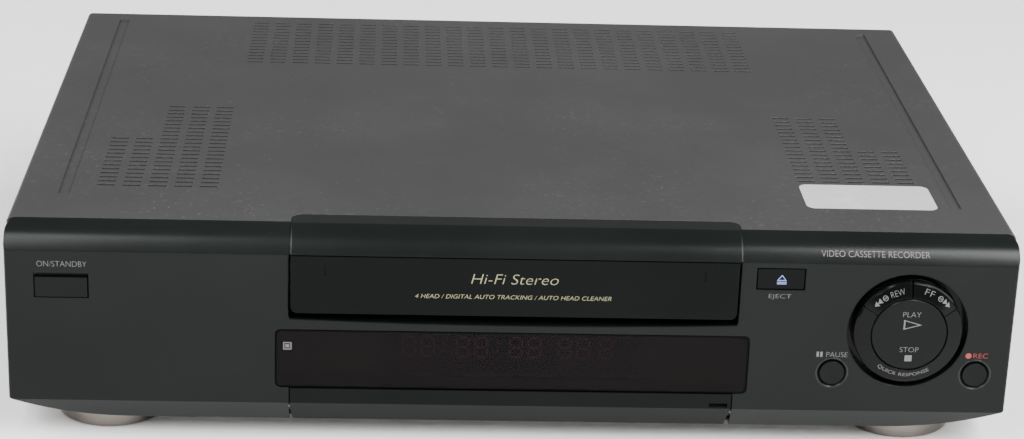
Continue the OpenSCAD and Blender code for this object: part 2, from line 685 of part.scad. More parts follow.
module flat_button(x, z, w, h, face) {
  flange_y = panel_wall + flange_seat;
  difference() {
    union() {
      along_y(face, flange_y + 0.5) rect(x - w / 2, x + w / 2, z - h / 2, z + h / 2);
      box(x - w / 2 - flange_lip, x + w / 2 + flange_lip, flange_y, flange_y + flange_t,
          z - h / 2 - flange_lip, z + h / 2 + flange_lip);
      rod_y(2, flange_y, stem_tip, x, z);
    }
    // Bevel along the top edge
    along_x(x - w, x + w) polygon([[face - 1, z + h / 2 + 1], [face - 1, z + h / 2 - 1.2], [face + 0.8, z + h / 2 + 1]]);
  }
}
module power_button() color([0.15, 0.16, 0.165]) placed() flat_button(power_x, power_z, power_w, power_h, -0.2);
module eject_button() color([0.12, 0.13, 0.13]) placed() flat_button(eject_x, eject_z, eject_w, eject_h, 0.3);

module round_button(x) {
  flange_y = panel_wall + flange_seat;
  dish_r = 32;
  difference() {
    union() {
      rod_y(round_r, -0.3, flange_y + 0.5, x, round_z);
      rod_y(round_hole + flange_lip, flange_y, flange_y + flange_t, x, round_z);
      rod_y(2, flange_y, stem_tip, x, round_z);
    }
    translate([x, 0.1 - dish_r, round_z]) sphere(r = dish_r, $fn = 96);
  }
}
module pause_button() color([0.15, 0.16, 0.16]) placed() round_button(pause_x);
module record_button() color([0.15, 0.16, 0.16]) placed() round_button(record_x);

ring_in_r = disc_r + ring_gap;
ring_rim_y = -2;
shelf_y = 2.2;
module at_ring() { translate([ring_x, 0, ring_z]) rotate([-90, 0, 0]) children(); }
module ring_face(y_back) {
  slope_y = 0.2 - disc_proud;
  rotate_extrude($fn = 128) polygon([[ring_in_r, slope_y], [ring_r - 0.7, ring_rim_y], [ring_r, ring_rim_y + 0.8],
                                     [ring_r, y_back], [ring_in_r, y_back]]);
}
// Pie slice from the middle of the ring; -90 points up
module slice(mid, half) {
  r = ring_r * 2;
  polygon([[0, 0], for (a = [mid - half, mid - half / 2, mid, mid + half / 2, mid + half]) [r * cos(a), r * sin(a)]]);
}
module control_ring() color([0.15, 0.165, 0.16]) placed() at_ring() {
  flange_y = well_depth + flange_seat;
  difference() {
    union() {
      ring_face(flange_y + flange_t);
      translate([0, 0, flange_y]) cylinder(r = well_r + well_wall, h = flange_t, $fn = 128);
    }
    // Hollow behind the face
    difference() {
      translate([0, 0, shelf_y + 1.8]) cylinder(r = ring_r - ring_wall, h = 20, $fn = 128);
      cylinder(r = ring_in_r + ring_wall, h = flange_y + flange_t - 0.5, $fn = 128);
    }
    translate([0, 0, -5]) cylinder(r = ring_in_r, h = 30, $fn = 128);
    // Room for the two wind buttons
    translate([0, 0, -5]) linear_extrude(5 + shelf_y) slice(-90, 2 * wind_arc);
    for (a = [-90 - wind_arc, -90 + wind_arc]) translate([wind_r * cos(a), wind_r * sin(a), 0])
      cylinder(r = wind_stem_r + 0.3, h = 20);
    // Bores for the disc's pins
    translate([-ring_in_r - 1.2, 0, 0]) rotate([0, 90, 0]) cylinder(r = 0.8 + run_gap, h = 2 * ring_in_r + 2.4);
  }
}
module wind_button(side) {
  middle = -90 + side * wind_arc;
  clip_y = shelf_y + 1.8 + flange_seat;
  intersection() {
    difference() {
      ring_face(shelf_y - button_travel - 0.4);
      translate([0, 0, -6]) cylinder(r = ring_in_r + 0.1, h = 12, $fn = 128);
    }
    translate([0, 0, -6]) linear_extrude(12) slice(middle, wind_arc - wind_slit);
  }
  translate([wind_r * cos(middle), wind_r * sin(middle), 0]) {
    translate([0, 0, -1]) cylinder(r = wind_stem_r, h = stem_tip + 1);
    translate([0, 0, clip_y]) cylinder(r = wind_stem_r + 0.7, h = 1);
  }
}
module rewind_button() color([0.15, 0.165, 0.16]) placed() at_ring() wind_button(-1);
module fast_forward_button() color([0.15, 0.165, 0.16]) placed() at_ring() wind_button(1);
module play_stop_disc() color([0.16, 0.175, 0.17]) placed() at_ring() {
  skirt = disc_r - 1.6;
  finger_r = 1.5;
  press = (rocker_r + finger_r) * sin(disc_tilt) + 0.13;
  rotate_extrude($fn = 128) polygon([[0, -disc_proud], [disc_r - 0.4, -disc_proud], [disc_r, 0.4 - disc_proud], [disc_r, 1.2],
                                     [skirt, 1.2], [skirt, 1.8 - disc_proud], [0, 1.8 - disc_proud]]);
  for (s = [-1, 1]) {
    translate([s * (disc_r + 0.1) - 1.2, 0, 0]) rotate([0, 90, 0]) cylinder(r = 0.8, h = 2.4);
    translate([0, s * rocker_r, 1.5 - disc_proud]) cylinder(r = finger_r, h = switch_tip - press - 1.5 + disc_proud);
  }
}

module door_button(x) {
  behind = jack_plate_y + jack_plate_t + 0.15;
  box(x - door_button_w / 2, x + door_button_w / 2, 6.2, behind + 0.4, jack_z - door_button_h / 2, jack_z + door_button_h / 2);
  box(x - door_button_w / 2 - 1, x + door_button_w / 2 + 1, behind, behind + 0.85, jack_z - door_button_h / 2 - 1, jack_z + door_button_h / 2 + 1);
}
module channel_down_button() color([0.2, 0.21, 0.21]) placed() door_button(door_button_xs[0]);
module channel_up_button() color([0.2, 0.21, 0.21]) placed() door_button(door_button_xs[1]);
module input_button() color([0.2, 0.21, 0.21]) placed() door_button(door_button_xs[2]);

jack_board_y = 16;
module front_jacks() color([0.75, 0.68, 0.3]) placed() {
  body_y = jack_plate_y + jack_plate_t + 0.2;
  difference() {
    union() {
      box(-80, 64, jack_board_y, jack_board_y + 1.4, jack_z - 6, jack_z + 6);
      // Each jack is a solid of its own, soldered to the board
      for (x = jack_xs) {
        rod_y(phono_r, 7, body_y + 1, x, jack_z);
        box(x - 6, x + 6, body_y, jack_board_y - 0.03, jack_z - 5, jack_z + 5);
      }
      for (x = door_button_xs) box(x - 3, x + 3, switch_tip + 1.6, jack_board_y + 0.5, jack_z - 3, jack_z + 3);
      for (x = [-74, 0]) box(x - 4, x + 4, jack_board_y + 1, board_y - 0.03, jack_z - 3, jack_z + 3);
    }
    for (x = jack_xs) rod_y(1.6, 6, 15, x, jack_z);
  }
}
module front_board() color([0.55, 0.42, 0.22]) placed() {
  difference() {
    along_y(board_y, board_y + board_t) {
      rect(7 - half_w, -104, 19, case_h - 13);
      rect(104, half_w - 7, 19, case_h - 13);
      rect(-110, 110, 15, sill_z - 2.4);
    }
    for (p = panel_bosses) rod_y(screw_r + run_gap, board_y - 1, board_y + 3, p[0], p[1]);
  }
}
module tact_switches() color([0.08, 0.08, 0.08]) placed() {
  for (p = switch_places) {
    box(p[0] - 3, p[0] + 3, switch_tip + 1.2, board_y - 0.03, p[1] - 3, p[1] + 3);
    rod_y(1.7, switch_tip, switch_tip + 1.3, p[0], p[1]);
  }
}
module display_module() color([0.3, 0.4, 0.38]) placed() {
  mid = (window_z + window_top) / 2;
  box(-52, 52, 7, 12, mid - 9, mid + 9);
  box(-56, 56, 12, board_y - 0.03, mid - 10.5, mid + 10.5);
}

// ---- Electronics ----
main_x0 = -100;
main_x1 = 206;
main_y0 = 40;
main_y1 = rear_y - 6;
module board_screw_z(x, y, z) {
  rod_z(screw_r, z - 2.4, z + board_t + 0.5, x, y);
  rod_z(2.8, z + board_t + 0.02, z + board_t + 1.8, x, y);
}
module board_screws() color([0.7, 0.7, 0.72]) placed() {
  for (p = main_posts) board_screw_z(p[0], p[1], main_z);
  for (p = power_posts) board_screw_z(p[0], p[1], power_z0);
  for (p = deck_posts) {
    rod_z(screw_r, deck_z - 6, deck_z + deck_t + 0.5, p[0], p[1]);
    rod_z(2.8, deck_z + deck_t + 0.02, deck_z + deck_t + 1.8, p[0], p[1]);
  }
  for (p = panel_bosses) {
    rod_y(screw_r, board_y - 8, board_y + board_t + 0.5, p[0], p[1]);
    rod_y(2.8, board_y + board_t + 0.02, board_y + board_t + 1.8, p[0], p[1]);
  }
}
module main_board() color([0.2, 0.4, 0.22]) placed() {
  difference() {
    box(main_x0, main_x1, main_y0, main_y1, main_z, main_z + board_t);
    for (p = main_posts) rod_z(screw_r + run_gap, main_z - 1, main_z + 3, p[0], p[1]);
    for (p = deck_posts) rod_z(deck_post_r + 1, main_z - 1, main_z + 3, p[0], p[1]);
  }
}
board_top = main_z + board_t + 0.03;
module main_board_parts() color([0.12, 0.13, 0.16]) placed() {
  for (i = [0:2], j = [0:1]) box(132 + i * 24, 148 + i * 24, 76 + j * 34, 92 + j * 34, board_top, board_top + 3);
  for (i = [0:3], j = [0:1]) rod_z(5, board_top, board_top + 14, 130 + i * 19, 176 + j * 22);
  for (i = [0:4]) rod_z(3.2, board_top, board_top + 9, 124 + i * 12, 232);
  for (i = [0:5]) box(-60 + i * 10, -54 + i * 10, 262, 282, board_top, board_top + 11);
  box(-40, 0, 60, 84, board_top, board_top + 3);
  box(178, 200, 240, 280, board_top, board_top + 22);
}
module tuner_unit() color([0.78, 0.79, 0.8]) placed() {
  difference() {
    union() {
      box(tuner_x0, tuner_x1, rear_y - 44, rear_y - 0.1, board_top, aerial_z + 14);
      for (x = aerial_xs) rod_y(aerial_r, rear_y - 1, back_y + socket_proud, x, aerial_z);
    }
    for (x = aerial_xs) rod_y(aerial_r - 1, back_y, back_y + socket_proud + 1, x, aerial_z);
  }
  for (x = aerial_xs) rod_y(1.2, back_y - 1, back_y + socket_proud - 1, x, aerial_z);
}
module rear_sockets() color([0.1, 0.1, 0.11]) placed() {
  av_y = back_y + 0.6;
  difference() {
    union() {
      for (z = av_zs) box(av_x - av_w / 2, av_x + av_w / 2, rear_y - 12, av_y, z - av_h / 2, z + av_h / 2);
      box(av_x - av_w / 2, av_x + av_w / 2, rear_y - 12, rear_y - 1, board_top, av_zs[1]);
      // Each round socket is a solid of its own; the upper pair stands on the lower
      for (i = [0, 1], s = [0, 1]) {
        x = phono_x - s * 16;
        z = phono_zs[i];
        rod_y(phono_r, rear_y - 2, back_y + socket_proud, x, z);
        box(x - 6, x + 6, rear_y - 10, rear_y - 0.1, i == 0 ? board_top : z - 7.95, z + 7.95);
      }
    }
    for (z = av_zs) box(av_x - 21, av_x + 21, av_y - 9, av_y + 1, z - 4.3, z + 4.3);
    for (z = phono_zs, s = [0, 1]) rod_y(1.6, back_y, back_y + socket_proud + 1, phono_x - s * 16, z);
  }
}
module mains_inlet() color([0.08, 0.08, 0.08]) placed() {
  mouth_y = rear_y + pan_sheet + 1.5;
  pin_dx = 4.3;
  difference() {
    union() {
      box(inlet_x - 11, inlet_x + 11, rear_y - 16, mouth_y, inlet_z - 7, inlet_z + 7);
      box(inlet_x - 13.5, inlet_x + 13.5, rear_y + pan_sheet + 0.03, mouth_y, inlet_z - 9, inlet_z + 9);
    }
    for (s = [-1, 1]) rod_y(4.4, mouth_y - 12, mouth_y + 1, inlet_x + s * pin_dx, inlet_z);
    box(inlet_x - pin_dx, inlet_x + pin_dx, mouth_y - 12, mouth_y + 1, inlet_z - 4.4, inlet_z + 4.4);
  }
  for (s = [-1, 1]) rod_y(1.2, mouth_y - 13, mouth_y - 4.7, inlet_x + s * pin_dx, inlet_z);
}
module power_supply() color([0.6, 0.5, 0.3]) placed() {
  top = power_z0 + board_t;
  difference() {
    box(-207, -112, 70, 280, power_z0, top);
    for (p = power_posts) rod_z(screw_r + run_gap, power_z0 - 1, power_z0 + 3, p[0], p[1]);
  }
  // Transformer: core, winding and bobbin
  translate([-150, 150, top - 0.1]) {
    translate([-20, -18, 0]) cube([40, 36, 6]);
    translate([-20, -9, 0]) cube([40, 18, 34]);
    translate([-13, -16, 0]) cube([26, 32, 28]);
  }
  rod_z(12, top - 0.1, top + 32, -180, 210);
  for (i = [0:3]) rod_z(5, top - 0.1, top + 16, -190 + i * 16, 108);
  for (i = [0:5]) box(-150, -120, 196 + i * 5, 197.6 + i * 5, top - 0.1, top + 30);
  box(-150, -148, 196, 222.6, top - 0.1, top + 30);
  box(-195, -155, 250, 262, top - 0.1, top + 14);
}

// ---- Tape deck ----
deck_top = deck_z + deck_t;
lift_top_z = sill_z + 1.6;
pin_r = 1.5;
pin_bore = pin_r + run_gap;
reel_x = reel_span / 2;
clutch_xy = [0, reel_y + 6];
clutch_r = 12;
hub_r = 7;
idler_len = 24;
idler_r = idler_len - hub_r - 0.3;
capstan_xy = [62, drum_y - 33];
pulley_r = 6;
belt_z = 26.6;
belt_w = 2;
belt_t = 1;
belt_gap = 0.3;
belt_keeper = clutch_xy + [23, 6];
rotor_r = 26;
rotor_z = 18.2;
cam_teeth = 44;
pinion_teeth = 12;
cam_xy = [-75, drum_y + 10];
pinion_xy = [cam_xy[0], cam_xy[1] + tooth_m * (cam_teeth + pinion_teeth) / 2 + 0.15];
pinch_xy = [88, drum_y - 15];
pinch_len = 22.4;
pinch_rest = -95;
tension_xy = [-84, drum_y - 33];
tension_tip = [24, -6];
cleaner_xy = [24, drum_y + 42];
cleaner_tip = [-16, -4];
guide_start = [34, drum_y - 55];
guide_end = [42, drum_y + 10];

// Gear outline: straight-sided teeth, slim enough to roll freely
function gear_points(n, m) = [
  for (i = [0:n - 1], k = [[-0.24, -1.15], [-0.1, 0.85], [0.1, 0.85], [0.24, -1.15]])
    let (a = (i + k[0]) * 360 / n, r = m * (n / 2 + k[1])) [r * cos(a), r * sin(a)]];
// Closed belt outline round two pulleys
module loop_shape(a, ra, b, rb) {
  d = norm(b - a);
  u = (b - a) / d;
  n = [-u[1], u[0]];
  k = (ra - rb) / d;
  c = sqrt(1 - k * k);
  translate(a) circle(r = ra);
  translate(b) circle(r = rb);
  polygon([a + ra * (k * u + c * n), b + rb * (k * u + c * n), b + rb * (k * u - c * n), a + ra * (k * u - c * n)]);
}

// Straight slot with round ends; its sides lie 0.1 inside the ends' radius
module slot_shape(a, b, r) {
  d = norm(b - a);
  translate(a) circle(r = r);
  translate(b) circle(r = r);
  translate(a) rotate(atan2(b[1] - a[1], b[0] - a[0])) translate([0, 0.1 - r]) square([d, 2 * r - 0.2]);
}

module deck_plate() color([0.72, 0.73, 0.75]) placed() {
  difference() {
    union() {
      box(-deck_half, deck_half, deck_y, deck_y + deck_len, deck_z, deck_top);
      for (s = [-1, 1]) box(s * (deck_half - deck_t / 2) - deck_t / 2, s * (deck_half - deck_t / 2) + deck_t / 2,
                            deck_y + 14, deck_y + deck_len - 14, deck_z - 5, deck_z + 0.5);
      // Bridge under the clutch
      box(clutch_xy[0] - 18, clutch_xy[0] + 4, clutch_xy[1] - 5, clutch_xy[1] + 5, 22, 23.2);
      box(clutch_xy[0] - 18, clutch_xy[0] - 16.8, clutch_xy[1] - 5, clutch_xy[1] + 5, 22, deck_z + 0.5);
      rod_z(2.5, belt_z + belt_w + 0.2, deck_z + 0.5, belt_keeper[0], belt_keeper[1]);
      rod_z(5, deck_z + 0.3, deck_top + 12.5, capstan_xy[0], capstan_xy[1]);
      rod_z(2.5, deck_z + 0.3, deck_top + 17, 0, reel_y + 30);
    }
    rod_z(hub_r + 1, deck_z - 1, deck_top + 1, clutch_xy[0], clutch_xy[1]);
    rod_z(capstan_r + run_gap, deck_z - 1, deck_top + 15, capstan_xy[0], capstan_xy[1]);
    for (p = deck_posts) rod_z(screw_r + run_gap, deck_z - 1, deck_top + 1, p[0], p[1]);
    // Curved tape path slots, drawn straight
    for (s = [-1, 1]) along_z(deck_z - 1, deck_top + 1)
      slot_shape([s * guide_start[0], guide_start[1]], [s * guide_end[0], guide_end[1]], 2.6);
  }
  rod_z(pin_r, 22.4, deck_top + 7.3, clutch_xy[0], clutch_xy[1]);
  for (s = [-1, 1]) rod_z(pin_r, deck_z + 0.3, deck_top + 15, s * reel_x, reel_y);
  rod_z(pin_r, deck_z + 0.3, deck_top + 8, cam_xy[0], cam_xy[1]);
  rod_z(pin_r, deck_z + 0.3, deck_top + 14, tension_xy[0], tension_xy[1]);
  rod_z(pin_r, deck_z + 0.3, deck_top + 14, pinch_xy[0], pinch_xy[1]);
  rod_z(pin_r, deck_z + 0.3, deck_top + 24, cleaner_xy[0], cleaner_xy[1]);
}
module at_drum() { translate([0, drum_y, deck_top]) rotate([drum_tilt, 0, 0]) children(); }
drum_split = 18;
drum_shaft_r = 3;
module drum_base() color([0.6, 0.6, 0.6]) placed() {
  intersection() {
    at_drum() translate([0, 0, -8]) cylinder(r = drum_r + 2, h = 11.95);
    box(-60, 60, drum_y - 60, drum_y + 60, deck_top + 0.02, deck_top + 20);
  }
}
module lower_drum() color([0.8, 0.81, 0.83]) placed() at_drum() {
  translate([0, 0, 4]) cylinder(r = drum_r, h = drum_split - 4);
  translate([0, 0, 10]) cylinder(r = drum_shaft_r, h = 28);
}
module upper_drum() color([0.86, 0.87, 0.89]) placed() at_drum() difference() {
  union() {
    translate([0, 0, drum_split + 0.3]) cylinder(r = drum_r, h = 14);
    translate([0, 0, drum_split + 14]) cylinder(r = drum_r * 0.66, h = 4);
  }
  cylinder(r = drum_shaft_r + run_gap, h = 60);
}
module capstan_motor() color([0.25, 0.35, 0.25]) placed() {
  difference() {
    rod_z(rotor_r + 6, rotor_z - 1.7, rotor_z - 0.5, capstan_xy[0], capstan_xy[1]);
    rod_z(capstan_r + run_gap, rotor_z - 3, rotor_z, capstan_xy[0], capstan_xy[1]);
  }
  for (a = [0, 100, 260]) rod_z(2, rotor_z - 1, deck_z - 0.02,
    capstan_xy[0] + (rotor_r + 3.5) * cos(a), capstan_xy[1] + (rotor_r + 3.5) * sin(a));
}
module capstan_rotor() color([0.7, 0.7, 0.72]) placed() {
  rod_z(rotor_r, rotor_z, rotor_z + 7.8, capstan_xy[0], capstan_xy[1]);
  rod_z(pulley_r, rotor_z + 7, deck_z - 0.5, capstan_xy[0], capstan_xy[1]);
  rod_z(capstan_r, rotor_z - 1.2, deck_top + 31, capstan_xy[0], capstan_xy[1]);
}
module drive_belt() color([0.06, 0.06, 0.06]) placed() difference() {
  out_gap = belt_gap + belt_t;
  along_z(belt_z, belt_z + belt_w) loop_shape(clutch_xy, clutch_r + out_gap, capstan_xy, pulley_r + out_gap);
  along_z(belt_z - 1, belt_z + belt_w + 1) loop_shape(clutch_xy, clutch_r + belt_gap, capstan_xy, pulley_r + belt_gap);
}
module clutch_pulley() color([0.9, 0.9, 0.86]) placed() difference() {
  union() {
    rod_z(clutch_r, 23.5, deck_z - 0.7, clutch_xy[0], clutch_xy[1]);
    rod_z(hub_r, deck_z - 1, deck_top + 4.8, clutch_xy[0], clutch_xy[1]);
  }
  rod_z(pin_bore, 20, deck_top + 20, clutch_xy[0], clutch_xy[1]);
}
module idler_arm() color([0.85, 0.85, 0.8]) placed() {
  difference() {
    along_z(deck_top + 5.1, deck_top + 6.3) loop_shape(clutch_xy, 5, clutch_xy - [0, idler_len], 4);
    rod_z(pin_bore, deck_z, deck_top + 20, clutch_xy[0], clutch_xy[1]);
  }
  rod_z(pin_r, deck_top + 0.5, deck_top + 5.2, clutch_xy[0], clutch_xy[1] - idler_len);
}
module idler_wheel() color([0.12, 0.12, 0.12]) placed()
  tube_z(idler_r, pin_bore, deck_top + 0.3, deck_top + 4.7, clutch_xy[0], clutch_xy[1] - idler_len);

module reel(x) {
  difference() {
    union() {
      rod_z(reel_r, deck_top + 0.3, deck_top + 4.8, x, reel_y);
      rod_z(reel_r - 2, deck_top + 4.7, deck_top + 6.8, x, reel_y);
      rod_z(5.5, deck_top + 6, deck_top + 18, x, reel_y);
      for (a = [90, 210, 330]) translate([x, reel_y, deck_top + 6]) rotate([0, 0, a]) translate([0, -0.9, 0]) cube([8.5, 1.8, 11]);
    }
    rod_z(pin_bore, deck_z, deck_top + 15.4, x, reel_y);
  }
}
module supply_reel() color([0.15, 0.15, 0.16]) placed() reel(-reel_x);
module take_up_reel() color([0.15, 0.15, 0.16]) placed() reel(reel_x);

module arm_plate(pivot, tip, z) {
  difference() {
    along_z(z, z + 2) loop_shape(pivot, 5, tip, 4);
    rod_z(pin_bore, z - 1, z + 4, pivot[0], pivot[1]);
  }
}
arm_z = deck_top + 10.8;
module tension_arm() color([0.7, 0.7, 0.72]) placed() {
  tip = tension_xy + tension_tip;
  arm_plate(tension_xy, tip, arm_z);
  tube_z(5, pin_bore, deck_top + 0.3, arm_z + 0.1, tension_xy[0], tension_xy[1]);
  rod_z(2.5, arm_z + 1, deck_top + 27, tip[0], tip[1]);
}
pinch_tip = pinch_xy + pinch_len * [cos(pinch_rest), sin(pinch_rest)];
module pinch_arm() color([0.7, 0.7, 0.72]) placed() {
  arm_plate(pinch_xy, pinch_tip, arm_z);
  tube_z(5, pin_bore, deck_top + 0.3, arm_z + 0.1, pinch_xy[0], pinch_xy[1]);
  rod_z(pin_r, arm_z + 1, deck_top + 31, pinch_tip[0], pinch_tip[1]);
}
module pinch_roller() color([0.08, 0.08, 0.08]) placed()
  tube_z(pinch_r, pin_bore, arm_z + 2.3, deck_top + 30, pinch_tip[0], pinch_tip[1]);

module tape_guide(s) {
  x = s * guide_start[0];
  y = guide_start[1];
  box(x - 6, x + 6, y - 4.5, y + 4.5, deck_top + 0.25, deck_top + 3.8);
  rod_z(2.2, deck_z - 1, deck_top + 1, x, y);
  rod_z(1.5, deck_top + 3, deck_top + 26, x, y);
  rod_z(3, deck_top + 7, deck_top + 24, x, y);
}
module left_tape_guide() color([0.8, 0.8, 0.82]) placed() tape_guide(-1);
module right_tape_guide() color([0.8, 0.8, 0.82]) placed() tape_guide(1);
module tape_heads() color([0.75, 0.75, 0.77]) placed() {
  for (p = [[-56, drum_y - 15], [56, drum_y - 9]])
    box(p[0] - 4, p[0] + 4, p[1] - 4, p[1] + 4, deck_top + 0.02, deck_top + 25);
}
module head_cleaner() color([0.85, 0.85, 0.8]) placed() {
  tip = cleaner_xy + cleaner_tip;
  tube_z(4, pin_bore, deck_top + 0.3, deck_top + 20.9, cleaner_xy[0], cleaner_xy[1]);
  arm_plate(cleaner_xy, tip, deck_top + 20.8);
  rod_z(4, deck_top + 22.7, deck_top + 33, tip[0], tip[1]);
}
motor_seat = deck_top + 11.8;
module loading_motor() color([0.65, 0.65, 0.67]) placed() {
  x = pinion_xy[0];
  y = pinion_xy[1];
  difference() {
    union() {
      rod_z(12, motor_seat - 0.1, motor_seat + 23, x, y);
      box(x - 16, x + 16, y - 12, y + 9, motor_seat - 1.2, motor_seat);
      for (s = [-1, 1]) box(x + s * 14.5 - 1.5, x + s * 14.5 + 1.5, y + 6, y + 9, deck_top + 0.02, motor_seat);
    }
    rod_z(1 + run_gap, motor_seat - 2, motor_seat + 8, x, y);
  }
}
module motor_pinion() color([0.85, 0.8, 0.6]) placed() {
  translate([pinion_xy[0], pinion_xy[1], deck_top + 0.3]) rotate([0, 0, 180 / pinion_teeth])
    linear_extrude(6.4) polygon(gear_points(pinion_teeth, tooth_m));
  rod_z(1, deck_top + 1, motor_seat + 7, pinion_xy[0], pinion_xy[1]);
}
module cam_gear() color([0.9, 0.9, 0.88]) placed() difference() {
  translate([cam_xy[0], cam_xy[1], deck_top + 0.3]) {
    linear_extrude(5) polygon(gear_points(cam_teeth, tooth_m));
    cylinder(r = 6, h = 7);
  }
  rod_z(pin_bore, deck_z, deck_top + 20, cam_xy[0], cam_xy[1]);
  // Spiral cam track, as an offset ring groove
  translate([cam_xy[0] + 2, cam_xy[1], deck_top + 3.3]) difference() {
    cylinder(r = 14, h = 5);
    translate([0, 0, -1]) cylinder(r = 11.5, h = 7);
  }
}

// ---- Cassette carriage ----
holder_in = tape_w / 2 + 0.1;
holder_x = holder_in + frame_t;
slider_x = holder_x + 2.4;
frame_x = slider_x + frame_t + 0.6;
holder_y = deck_y + 0.5;
lift = lift_top_z - loaded_z;
holder_pin_z = lift_top_z + 12;
holder_pin_ys = [holder_y + 26, holder_y + 80];
slider_pin_z = holder_pin_z + 7;
slider_pin_ys = [holder_y + 16, holder_y + 90];
slider_top = lift_top_z + tape_h + 4;
frame_top = slider_top + 1.6;
rack_z = loaded_z + 24;
gear_teeth = 20;
gear_y = holder_y + 64.5;
gear_z = rack_z - tooth_m * gear_teeth / 2 - 0.15;
rack_x = frame_x + frame_t + 0.8;
rack_w = 3.5;
rack_y0 = gear_y - 36;
rack_y1 = gear_y + 13;

module slot_x(x0, x1, y0, y1, z0, z1, r) {
  rod_x(r, x0, x1, y0, z0);
  rod_x(r, x0, x1, y1, z1);
  if (y1 > y0) box(x0, x1, y0, y1, z0 - r, z0 + r);
  if (z1 > z0) box(x0, x1, y0 - r, y0 + r, z0, z1);
}
module carriage_frame() color([0.75, 0.76, 0.78]) placed() {
  difference() {
    union() {
      for (s = [-1, 1]) {
        mid = s * (frame_x + frame_t / 2);
        box(mid - frame_t / 2, mid + frame_t / 2, holder_y, holder_y + 131, deck_top + 0.02, frame_top);
        box(mid - s * 0.2 - 1.6, mid - s * 0.2 + 1.6, holder_y + 20, holder_y + 110, deck_top + 0.02, deck_top + frame_t);
      }
      for (y = [holder_y + 2, holder_y + 112]) box(-frame_x - frame_t, frame_x + frame_t, y, y + 12, frame_top - 0.1, frame_top + frame_t);
    }
    for (y = slider_pin_ys) slot_x(-frame_x - 5, frame_x + 5, y, y + holder_travel, slider_pin_z, slider_pin_z, pin_bore);
    // Window for the rack's web
    box(frame_x - 0.4, frame_x + frame_t + 1, rack_y0 - 1, rack_y1 + holder_travel + 1, rack_z + 2.4, rack_z + 6.4);
  }
  rod_x(pin_r, frame_x + frame_t / 2, rack_x + rack_w + 0.6, gear_y, gear_z);
}
module carriage_slider() color([0.82, 0.82, 0.8]) placed() {
  difference() {
    union() {
      for (s = [-1, 1]) {
        mid = s * (slider_x + frame_t / 2);
        box(mid - frame_t / 2, mid + frame_t / 2, holder_y + 6, holder_y + 101, loaded_z + 6, slider_top);
        for (y = slider_pin_ys) rod_x(pin_r, min(mid, mid + s * (frame_t + 1.2)), max(mid, mid + s * (frame_t + 1.2)), y, slider_pin_z);
      }
      box(-slider_x - frame_t, slider_x + frame_t, holder_y + 28, holder_y + 44, slider_top - frame_t, slider_top);
    }
    for (y = holder_pin_ys) slot_x(-slider_x - 5, slider_x + 5, y, y, holder_pin_z - lift, holder_pin_z, pin_bore);
  }
  // Rack beside the frame, joined through its window
  box(slider_x + frame_t - 0.1, rack_x + 0.1, rack_y0 + 1, rack_y1 - 1, rack_z + 3, rack_z + 5.8);
  translate([rack_x, 0, 0]) along_x(0, rack_w) {
    rect(rack_y0, rack_y1, rack_z + 1.15 * tooth_m, rack_z + 6);
    for (k = [-11:3]) translate([gear_y + (k + 0.5) * PI * tooth_m, rack_z])
      polygon(tooth_m * [[-0.75, 1.2], [-0.31, -0.85], [0.31, -0.85], [0.75, 1.2]]);
  }
}
module carriage_gear() color([0.9, 0.9, 0.88]) placed() difference() {
  translate([rack_x, gear_y, gear_z]) rotate([90, 0, 90]) linear_extrude(rack_w) polygon(gear_points(gear_teeth, tooth_m));
  rod_x(pin_bore, rack_x - 1, rack_x + rack_w + 1, gear_y, gear_z);
}
module cassette_holder() color([0.7, 0.71, 0.73]) placed() {
  top = lift_top_z + tape_h + 0.3;
  for (s = [-1, 1]) {
    mid = s * (holder_in + frame_t / 2);
    ledge = s * (holder_x - 8);
    box(mid - frame_t / 2, mid + frame_t / 2, holder_y, holder_y + holder_len, lift_top_z - frame_t, top + frame_t);
    box(ledge - 8, ledge + 8, holder_y, holder_y + holder_len, lift_top_z - frame_t, lift_top_z);
    for (y = holder_pin_ys) rod_x(pin_r, min(mid, mid + s * 4.2), max(mid, mid + s * 4.2), y, holder_pin_z);
  }
  box(-holder_x, holder_x, holder_y, holder_y + 6.5, lift_top_z - frame_t, lift_top_z);
  difference() {
    box(-holder_x, holder_x, holder_y, holder_y + holder_len, top, top + frame_t);
    box(-60, 60, holder_y + 20, holder_y + holder_len - 20, top - 1, top + frame_t + 1);
  }
}

top_cover();
chassis_pan();
front_panel();
rear_panel();
front_feet();
rear_feet();
foot_pads();
case_screws();
display_window();
display_module();
front_board();
board_screws();
tact_switches();
power_button();
eject_button();
pause_button();
record_button();
rewind_button();
fast_forward_button();
play_stop_disc();
control_ring();
cassette_flap();
flap_spring();
lower_door();
channel_down_button();
channel_up_button();
input_button();
front_jacks();
main_board();
main_board_parts();
tuner_unit();
rear_sockets();
power_supply();
mains_inlet();
deck_plate();
drum_base();
lower_drum();
upper_drum();
capstan_motor();
capstan_rotor();
drive_belt();
clutch_pulley();
idler_arm();
idler_wheel();
supply_reel();
take_up_reel();
tension_arm();
pinch_arm();
pinch_roller();
left_tape_guide();
right_tape_guide();
tape_heads();
head_cleaner();
loading_motor();
motor_pinion();
cam_gear();
carriage_frame();
carriage_slider();
carriage_gear();
cassette_holder();
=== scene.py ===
"""Looks for the front-loading video cassette recorder.

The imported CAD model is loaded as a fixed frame. The classes below give its
nodes their finishes and add the pieces that carry the fine detail: keys,
dial, feet, sockets, screws, printing and the studio round them. Lengths in
the classes are millimetres in the recorder's own frame.
"""

import json
import logging
import math
from collections.abc import Callable, Iterable, Sequence
from dataclasses import dataclass, field
from enum import Enum

import bmesh
import bpy
from mathutils import Matrix, Vector

